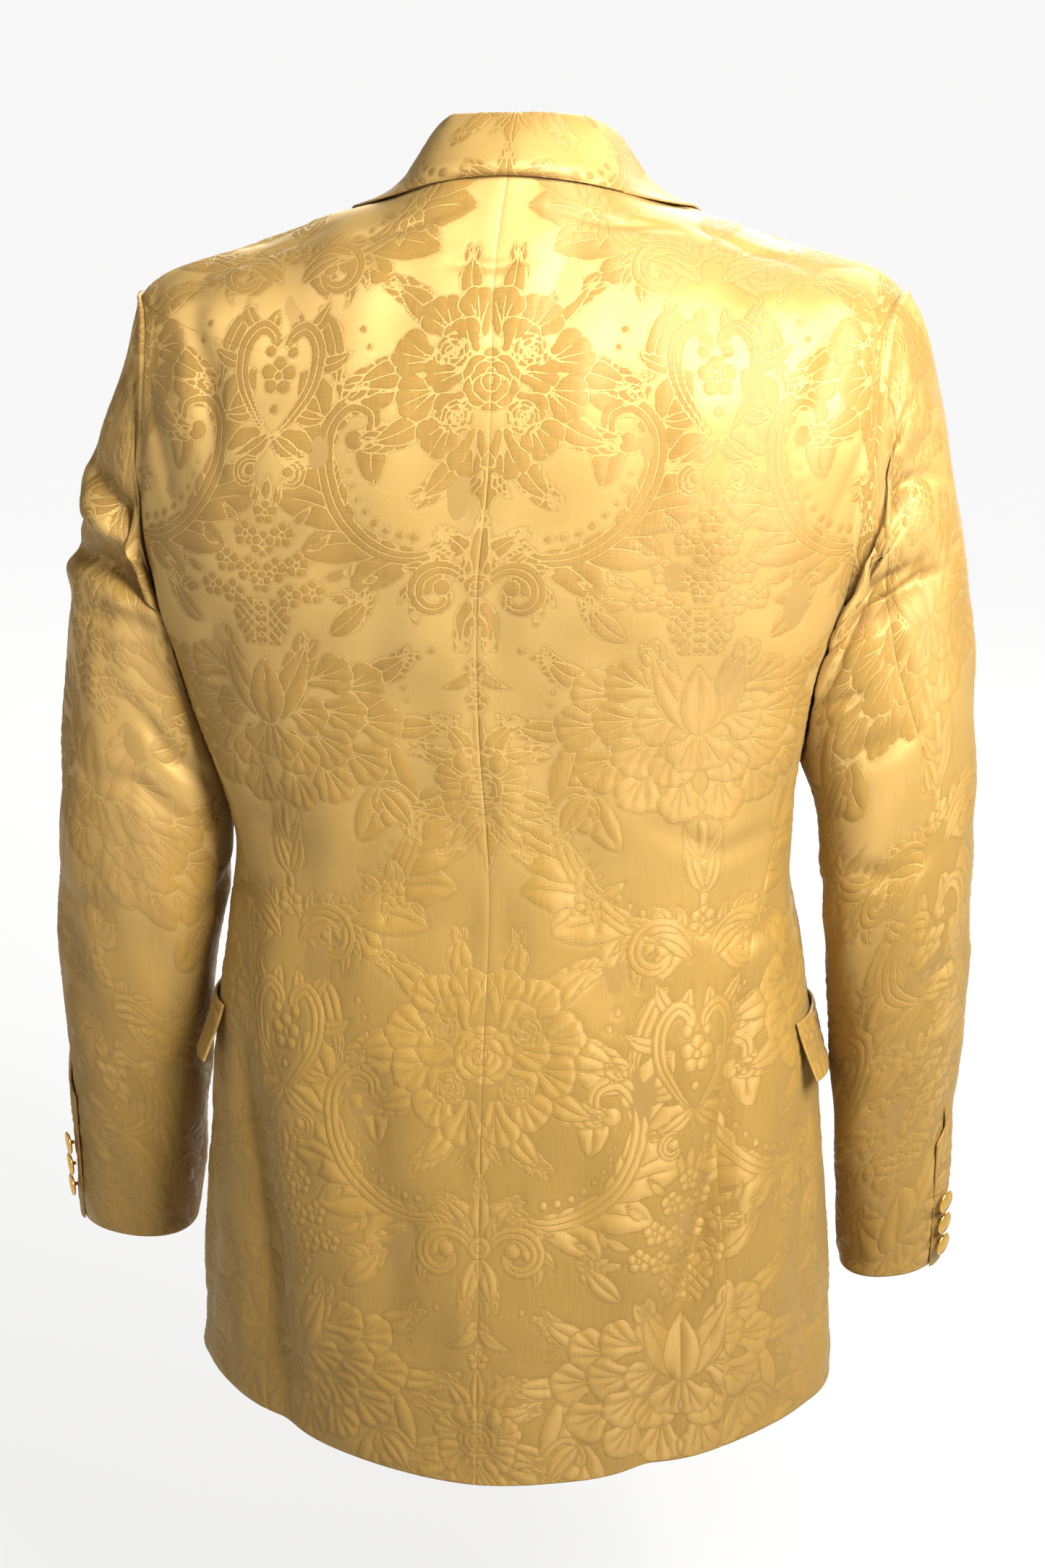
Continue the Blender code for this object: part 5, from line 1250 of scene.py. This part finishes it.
def sleeve_under(side):
    return sleeve_piece(side, "under", lambda v: elbow_phi(side, v), lambda v: np.full(len(v), math.radians(INNER_SEAM)), 0.185, ("first_row", "last_column", "first_column"), seed=5.0)


def pocket_flap(side):
    u = np.linspace(0, 1, thirds(0.15, SPACING["flap"]))
    w = np.linspace(0, 1, thirds(0.056, SPACING["flap"]))
    theta = np.radians(FLAP_BACK_DEG[side]) + (math.radians(FLAP_FRONT_DEG) - np.radians(FLAP_BACK_DEG[side])) * u
    w, theta = np.meshgrid(w, theta, indexing="ij")
    r = FLAP_TOP_R + (FLAP_LOW_R - FLAP_TOP_R) * w - FLAP_SLOPE * u
    flare = (FLAP_FLARE * (1 - ease(0.0, 0.75, u)) + 0.0012)[None, :] * w**1.3
    points, normals = on_body(SIDES[side] * theta, r, WALL + LAY_GAP + 0.0006 + flare)
    a, b = body_cloth(side, theta, r)
    return shell(f"pocket_flap_{side}", points, normals, (a + 0.03) * SIDES[side], b, (), ripple=0.2)


# ---------------------------------------------------------------- metal buttons
def turned_button(name, point, normal, diameter):
    """A cast metal button turned about its own axis: a rim, a hollow ring inside it, a low dome, and a shank behind."""
    radius, steps = diameter / 2, 48
    profile = [(0.14, 0.0), (0.16, 0.10), (0.16, 0.50), (0.30, 0.58), (0.62, 0.62), (0.86, 0.72), (0.97, 0.86), (1.0, 1.0), (0.99, 1.12), (0.95, 1.20), (0.90, 1.22), (0.86, 1.18), (0.83, 1.12),
               (0.78, 1.12), (0.70, 1.19), (0.58, 1.28), (0.42, 1.37), (0.24, 1.42), (0.10, 1.44)]
    level, up = frame_at(point, normal)
    angle = 2 * math.pi * np.arange(steps) / steps
    coordinates = []
    for wide, high in profile:
        notch = 1 + (0.012 * np.cos(24 * angle) if 0.88 < wide and high > 0.9 else 0)
        ring = point + normal * SHANK * high * 1.25 + (np.outer(np.cos(angle) * notch, level) + np.outer(np.sin(angle) * notch, up)) * radius * wide
        coordinates.append(ring)
    coordinates = np.concatenate(coordinates + [[point], [point + normal * SHANK * 1.45 * 1.25]])
    faces = []
    for i in range(len(profile) - 1):
        for k in range(steps):
            faces.append((i * steps + k, i * steps + (k + 1) % steps, (i + 1) * steps + (k + 1) % steps, (i + 1) * steps + k))
    low, high = len(profile) * steps, len(profile) * steps + 1
    for k in range(steps):
        faces.append((low, (k + 1) % steps, k))
        faces.append((high, (len(profile) - 1) * steps + k, (len(profile) - 1) * steps + (k + 1) % steps))
    mesh = bpy.data.meshes.new(name)
    mesh.from_pydata([tuple(c) for c in coordinates], [], faces)
    mesh.polygons.foreach_set("use_smooth", np.ones(len(faces), bool))
    mesh.update()
    obj = bpy.data.objects.new(name, mesh)
    bpy.context.scene.collection.objects.link(obj)
    return obj


def cuff_button(at):
    phi = upper_phi_limit(at.side, np.array(at.v)) - math.radians(at.degrees_before_edge)
    point, normal = on_sleeve(at.side, phi, np.array(at.v), upper_lift(at.side, phi, np.array(at.v)) + LAY_GAP)
    return turned_button(at.name + "_metal", point, normal, CUFF_BUTTON)


def front_button(name, z):
    theta, r = on_front("left", np.array([0.0]), np.array([z]))
    point, normal = on_body(theta[0], r[0], front_lift("left", theta, r)[0] + LAY_GAP)
    return turned_button(name + "_metal", point, normal, FRONT_BUTTON)


# ---------------------------------------------------------------- materials
class Nodes:
    """A short way to add nodes to a material."""

    def __init__(self, name):
        self.material = bpy.data.materials.new(name)
        self.material.use_nodes = True
        self.tree = self.material.node_tree
        self.shader = self.tree.nodes["Principled BSDF"]
        self.output = self.tree.nodes["Material Output"]

    def add(self, kind, settings=None, **links):
        node = self.tree.nodes.new(kind)
        for key, value in (settings or {}).items():
            setattr(node, key, value)
        for key, value in links.items():
            self.set(node, key.replace("__", " "), value)
        return node

    def set(self, node, socket, value):
        target = node.inputs[int(socket[1:])] if socket[0] == "i" and socket[1:].isdigit() else node.inputs[socket]
        if isinstance(value, bpy.types.NodeSocket):
            self.tree.links.new(value, target)
        elif isinstance(value, bpy.types.Node):
            self.tree.links.new(value.outputs[0], target)
        else:
            target.default_value = value

    def math(self, operation, a, b=0.0, c=0.0):
        node = self.add("ShaderNodeMath", {"operation": operation})
        for k, value in enumerate((a, b, c)):
            self.set(node, f"i{k}", value)
        return node.outputs[0]

    def blend(self, factor, a, b):
        node = self.add("ShaderNodeMix", {"data_type": "RGBA"})
        for socket, value in (("i0", factor), ("i6", a), ("i7", b)):
            self.set(node, socket, value)
        return node.outputs[2]

    def between(self, value, low, high, to_low=0.0, to_high=1.0, how="SMOOTHSTEP"):
        node = self.add("ShaderNodeMapRange", {"interpolation_type": how})
        for socket, number in (("i0", value), ("i1", low), ("i2", high), ("i3", to_low), ("i4", to_high)):
            self.set(node, socket, number)
        return node.outputs[0]


def damask_material():
    """Silk satin with its figure in the crosswise threads: the ground shines along one way, the figure the other."""
    n = Nodes("damask_silk")
    figure = n.add("ShaderNodeAttribute", {"attribute_name": "figure"}).outputs["Fac"]
    inward = n.add("ShaderNodeAttribute", {"attribute_name": "inward"}).outputs["Fac"]
    cloth = n.add("ShaderNodeUVMap", {"uv_map": "cloth"}).outputs[0]
    parts = n.add("ShaderNodeSeparateXYZ", None, i0=cloth)
    u, v = parts.outputs[0], parts.outputs[1]
    thin = n.add("ShaderNodeAttribute", {"attribute_name": "thin"}).outputs["Fac"]
    coded = n.add("ShaderNodeSeparateXYZ", None, i0=n.add("ShaderNodeAttribute", {"attribute_name": "coded"}).outputs["Vector"])
    # the figure's edges step from thread to thread
    stepped = n.add("ShaderNodeTexNoise", None, Vector=n.add("ShaderNodeVectorMath", {"operation": "MULTIPLY"}, i0=cloth, i1=(700.0, 1500.0, 1.0)).outputs[0], Scale=1.0, Detail=1.0).outputs[0]
    jitter = n.math("MULTIPLY", n.math("SUBTRACT", stepped, 0.5), 0.9)
    raised = n.between(n.math("ADD", figure, jitter), -0.20, 0.20)
    # where one petal or leaf meets the next, and along its veins, a line of ground shows through
    apart = [n.math("ABSOLUTE", coded.outputs[k]) for k in range(3)]
    apart = n.math("ADD", n.math("MINIMUM", apart[0], n.math("MINIMUM", apart[1], apart[2])), n.math("MULTIPLY", jitter, 0.5))
    line = n.math("MULTIPLY", n.between(apart, 0.25, 0.55, 1.0, 0.0), n.between(thin, 0.05, 0.60))
    line = n.math("MULTIPLY", line, raised)
    raised = n.math("SUBTRACT", raised, n.math("MULTIPLY", line, 0.90))
    # threads: fine cords across the figure, a steep fine twill on the ground
    cords = n.math("SINE", n.math("MULTIPLY", n.math("ADD", v, n.math("MULTIPLY", u, 0.10)), 2 * math.pi / 0.00092))
    twill = n.math("SINE", n.math("MULTIPLY", n.math("ADD", u, n.math("MULTIPLY", v, 0.42)), 2 * math.pi / 0.00080))
    threads = n.add("ShaderNodeMix", {"data_type": "FLOAT"}, i0=raised, i2=twill, i3=cords).outputs[0]
    # slubs: long faint streaks across and down
    across = n.add("ShaderNodeCombineXYZ", None, i0=n.math("MULTIPLY", u, 55.0), i1=n.math("MULTIPLY", v, 1500.0))
    down = n.add("ShaderNodeCombineXYZ", None, i0=n.math("MULTIPLY", u, 1300.0), i1=n.math("MULTIPLY", v, 40.0))
    slub = n.add("ShaderNodeTexNoise", None, Vector=across, Scale=1.0, Detail=3.0, Roughness=0.6).outputs[0]
    warp = n.add("ShaderNodeTexNoise", None, Vector=down, Scale=1.0, Detail=3.0, Roughness=0.6).outputs[0]
    patch = n.add("ShaderNodeTexNoise", None, Vector=cloth, Scale=16.0, Detail=4.0, Roughness=0.55).outputs[0]
    # painted shade: a dark band in the groove just outside the raised figure's edge, and on the figure beside the lines
    # where petals and leaves meet
    rim = n.between(n.math("ABSOLUTE", n.math("ADD", figure, 0.35)), 0.0, 0.80, 1.0, 0.0)
    rim = n.math("MAXIMUM", rim, n.math("MULTIPLY", n.between(n.math("ABSOLUTE", n.math("SUBTRACT", apart, 0.75)), 0.0, 0.45, 1.0, 0.0), n.math("MULTIPLY", raised, n.between(thin, 0.05, 0.6))))

    ground = n.blend(n.between(patch, 0.30, 0.70), GROUND_A, GROUND_B)
    motif = n.blend(n.between(slub, 0.30, 0.72), MOTIF_A, MOTIF_B)
    # painted shade: lower down the cloth the ground is painted darker and deeper, standing in for the satin's sheen
    # that no longer catches the light there, and its figure is painted as light as the ground
    ground = n.blend(n.between(v, -0.54, -0.26, 0.90, 0.0), ground, GROUND_PAINTED_SHADE)
    motif = n.blend(n.between(v, -0.50, -0.22, 0.95, 0.0), motif, MOTIF_IN_PAINTED_SHADE)
    colour = n.blend(raised, ground, motif)
    # the painted shade is laid along the figure's edges
    colour = n.blend(n.math("MULTIPLY", rim, 0.30), colour, EDGE_PAINTED_SHADE)
    colour = n.blend(n.between(warp, 0.35, 0.75, 0.0, 0.16), colour, STREAK)
    colour = n.blend(n.math("MULTIPLY", inward, 0.55), colour, INSIDE)
    n.set(n.shader, "Base Color", colour)
    rough = n.add("ShaderNodeMix", {"data_type": "FLOAT"}, i0=raised, i2=GROUND_ROUGH, i3=MOTIF_ROUGH).outputs[0]
    rough = n.math("ADD", rough, n.math("MULTIPLY", n.math("SUBTRACT", slub, 0.5), 0.16))
    n.set(n.shader, "Roughness", rough)
    n.set(n.shader, "Metallic", n.add("ShaderNodeMix", {"data_type": "FLOAT"}, i0=raised, i2=GROUND_METAL, i3=MOTIF_METAL).outputs[0])
    n.shader.inputs["Anisotropic"].default_value = 0.72
    n.set(n.shader, "Anisotropic Rotation", n.math("MULTIPLY", raised, 0.25))
    tangent = n.add("ShaderNodeTangent", {"direction_type": "UV_MAP", "uv_map": "cloth"}).outputs[0]
    n.set(n.shader, "Tangent", tangent)
    n.shader.inputs["Specular IOR Level"].default_value = 0.35
    n.shader.inputs["Sheen Weight"].default_value = 0.08
    n.shader.inputs["Sheen Roughness"].default_value = 0.40
    n.shader.inputs["Sheen Tint"].default_value = (1.0, 0.86, 0.55, 1)
    step = n.math("SUBTRACT", n.between(figure, -0.5, 0.5), n.math("MULTIPLY", line, 1.2))
    height = n.math("ADD", n.math("MULTIPLY", threads, 0.055), n.math("MULTIPLY", step, 0.42))
    height = n.math("ADD", height, n.math("MULTIPLY", slub, 0.16))
    height = n.math("ADD", height, n.math("MULTIPLY", patch, 0.30))
    bump = n.add("ShaderNodeBump", None, Strength=0.55, Distance=0.0006, Height=height).outputs[0]
    n.set(n.shader, "Normal", bump)
    return n.material


def metal_material():
    """Gilt button metal, brighter on worn rims, with faint casting marks and dulled hollows."""
    n = Nodes("button_gilt")
    place = n.add("ShaderNodeTexCoord").outputs["Object"]
    grain = n.add("ShaderNodeTexNoise", None, Vector=place, Scale=900.0, Detail=4.0, Roughness=0.6).outputs[0]
    dull = n.add("ShaderNodeTexNoise", None, Vector=place, Scale=160.0, Detail=3.0, Roughness=0.5).outputs[0]
    edge = n.between(n.add("ShaderNodeNewGeometry").outputs["Pointiness"], 0.42, 0.56)
    colour = n.blend(n.between(dull, 0.35, 0.70), (0.52, 0.27, 0.030, 1), (0.66, 0.37, 0.055, 1))
    colour = n.blend(n.math("MULTIPLY", edge, 0.55), colour, (0.86, 0.55, 0.13, 1))
    n.set(n.shader, "Base Color", colour)
    n.shader.inputs["Metallic"].default_value = 1.0
    n.set(n.shader, "Roughness", n.between(grain, 0.25, 0.80, 0.20, 0.42, "LINEAR"))
    n.set(n.shader, "Normal", n.add("ShaderNodeBump", None, Strength=0.25, Distance=0.0002, Height=grain).outputs[0])
    return n.material


def floor_material():
    n = Nodes("floor_pale")
    place = n.add("ShaderNodeTexCoord").outputs["Object"]
    mottle = n.add("ShaderNodeTexNoise", None, Vector=place, Scale=1.3, Detail=2.0).outputs[0]
    n.set(n.shader, "Base Color", n.blend(mottle, (0.12, 0.12, 0.12, 1), (0.14, 0.14, 0.14, 1)))
    n.shader.inputs["Roughness"].default_value = 0.9
    n.shader.inputs["Specular IOR Level"].default_value = 0.1
    n.shader.inputs["Emission Color"].default_value = (1, 1, 1, 1)
    # the floor glows to look pale; its glow is painted dimmer within a few metres of the garment, a soft painted shade
    # round it that also sends less light up onto the garment
    away = n.add("ShaderNodeVectorMath", {"operation": "LENGTH"}, i0=place).outputs["Value"]
    n.set(n.shader, "Emission Strength", n.between(away, 0.6, 4.0, 0.72, 0.93))
    return n.material


GROUND_A, GROUND_B = (0.390, 0.242, 0.068, 1), (0.435, 0.278, 0.086, 1)
MOTIF_A, MOTIF_B = (0.252, 0.142, 0.030, 1), (0.290, 0.168, 0.040, 1)
# painted shade: the ground's and the figure's colours for the lower cloth
GROUND_PAINTED_SHADE, MOTIF_IN_PAINTED_SHADE = (0.282, 0.164, 0.034, 1), (0.288, 0.166, 0.032, 1)
# the first colour is painted shade for the figure's edges
EDGE_PAINTED_SHADE, STREAK, INSIDE = (0.190, 0.102, 0.022, 1), (0.480, 0.325, 0.115, 1), (0.290, 0.175, 0.055, 1)
GROUND_ROUGH, MOTIF_ROUGH, GROUND_METAL, MOTIF_METAL = 0.55, 0.60, 0.34, 0.12

# ---------------------------------------------------------------- the garment
# the cut of each piece, in metres: its width and length laid flat, and its area with the curved edges
Cut = namedtuple("Cut", "wide long area")


def dress():
    silk, gilt = damask_material(), metal_material()
    made = []
    for side in SIDES:
        made += [back_panel(side), side_panel(side), front_panel(side), lapel(side), sleeve_upper(side), sleeve_under(side), pocket_flap(side)]
    made += [collar_leaf(), collar_stand()]
    buttons = {}
    for at in CUFF_BUTTONS:
        buttons.setdefault(f"sleeve_upper_{at.side}", []).append(cuff_button(at))
    for name, z in FRONT_BUTTONS_Z.items():
        buttons.setdefault("front_left", []).append(front_button(name, z))
    for obj in made:
        node = obj.name.replace("_cloth", "")
        obj.data.materials.append(silk)
        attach(obj, "root")
        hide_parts(node)
        for button in buttons.get(node, []):
            button.data.materials.append(gilt)
            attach(button, "root")
            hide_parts(button.name.replace("_metal", ""))


# ---------------------------------------------------------------- camera, floor and light
CAMERA_AWAY, CAMERA_HIGH, CAMERA_YAW, CAMERA_PITCH = 1.80, 0.15, math.radians(7.5), math.radians(15.8)
PICTURE_WIDE, PICTURE_TALL, FOCAL_PX, CENTRE_X, CENTRE_Y = 1445, 2168, 4195.0, 718.0, 1084.0


def camera():
    data = bpy.data.cameras.new("camera")
    data.sensor_fit = "AUTO"
    data.sensor_width = 36.0
    data.lens = 36.0 * FOCAL_PX / PICTURE_TALL
    data.shift_x = (PICTURE_WIDE / 2 - CENTRE_X) / PICTURE_TALL
    data.shift_y = (CENTRE_Y - PICTURE_TALL / 2) / PICTURE_TALL
    data.clip_start, data.clip_end = 0.05, 600
    obj = bpy.data.objects.new("camera", data)
    bpy.context.scene.collection.objects.link(obj)
    obj.location = (-CAMERA_AWAY * math.sin(CAMERA_YAW), CAMERA_AWAY * math.cos(CAMERA_YAW), CAMERA_HIGH)
    forward = Vector((math.sin(CAMERA_YAW) * math.cos(CAMERA_PITCH), -math.cos(CAMERA_YAW) * math.cos(CAMERA_PITCH), -math.sin(CAMERA_PITCH)))
    obj.rotation_euler = forward.to_track_quat("-Z", "Y").to_euler()
    bpy.context.scene.camera = obj


def lamp(name, place, toward, size, power, colour=(1, 1, 1)):
    data = bpy.data.lights.new(name, "AREA")
    data.shape, data.size, data.size_y = "RECTANGLE", size[0], size[1]
    data.energy, data.color = power, colour
    obj = bpy.data.objects.new(name, data)
    bpy.context.scene.collection.objects.link(obj)
    obj.location = place
    obj.rotation_euler = (Vector(toward) - Vector(place)).to_track_quat("-Z", "Y").to_euler()


def studio():
    n = floor_material()
    mesh = bpy.data.meshes.new("floor")
    half, low = 400.0, CAD_BOX[0][2] - 0.30
    mesh.from_pydata([(-half, -half, low), (half, -half, low), (half, half, low), (-half, half, low)], [], [(0, 1, 2, 3)])
    mesh.materials.append(n)
    floor = bpy.data.objects.new("floor", mesh)
    bpy.context.scene.collection.objects.link(floor)
    world = bpy.data.worlds.new("studio")
    bpy.context.scene.world = world
    world.use_nodes = True
    tree = world.node_tree
    place, parts, fade = (tree.nodes.new(kind) for kind in ("ShaderNodeTexCoord", "ShaderNodeSeparateXYZ", "ShaderNodeMapRange"))
    fade.interpolation_type = "SMOOTHSTEP"
    for socket, value in ((1, 0.0), (2, 0.20), (3, WORLD_LOW), (4, WORLD_HIGH)):
        fade.inputs[socket].default_value = value
    tree.links.new(place.outputs["Generated"], parts.inputs[0])
    tree.links.new(parts.outputs[2], fade.inputs[0])
    tree.links.new(fade.outputs[0], tree.nodes["Background"].inputs[1])
    tree.nodes["Background"].inputs[0].default_value = (1.0, 0.87, 0.66, 1)
    for args in LAMPS:
        lamp(*args)


WORLD_LOW, WORLD_HIGH = 0.36, 0.03       # the studio's light near the horizon and overhead
LAMPS = [
    ("key", (-0.80, 0.92, 0.50), (0, 0, -0.30), (0.62, 0.62), 73.0, (1.0, 0.99, 0.96)),
    ("left", (1.05, 0.42, 0.62), (0.2, 0, -0.05), (0.5, 0.5), 4.6, (1.0, 0.95, 0.86)),
    ("front", (-0.5, -2.3, 1.3), (0, 0, -0.3), (2.0, 1.6), 130.0, (1.0, 0.98, 0.95)),
]
bpy.context.scene.view_settings.view_transform = "Standard"

dress()
studio()
camera()
if bpy.context.scene.camera is None:
    raise SystemExit("no camera")
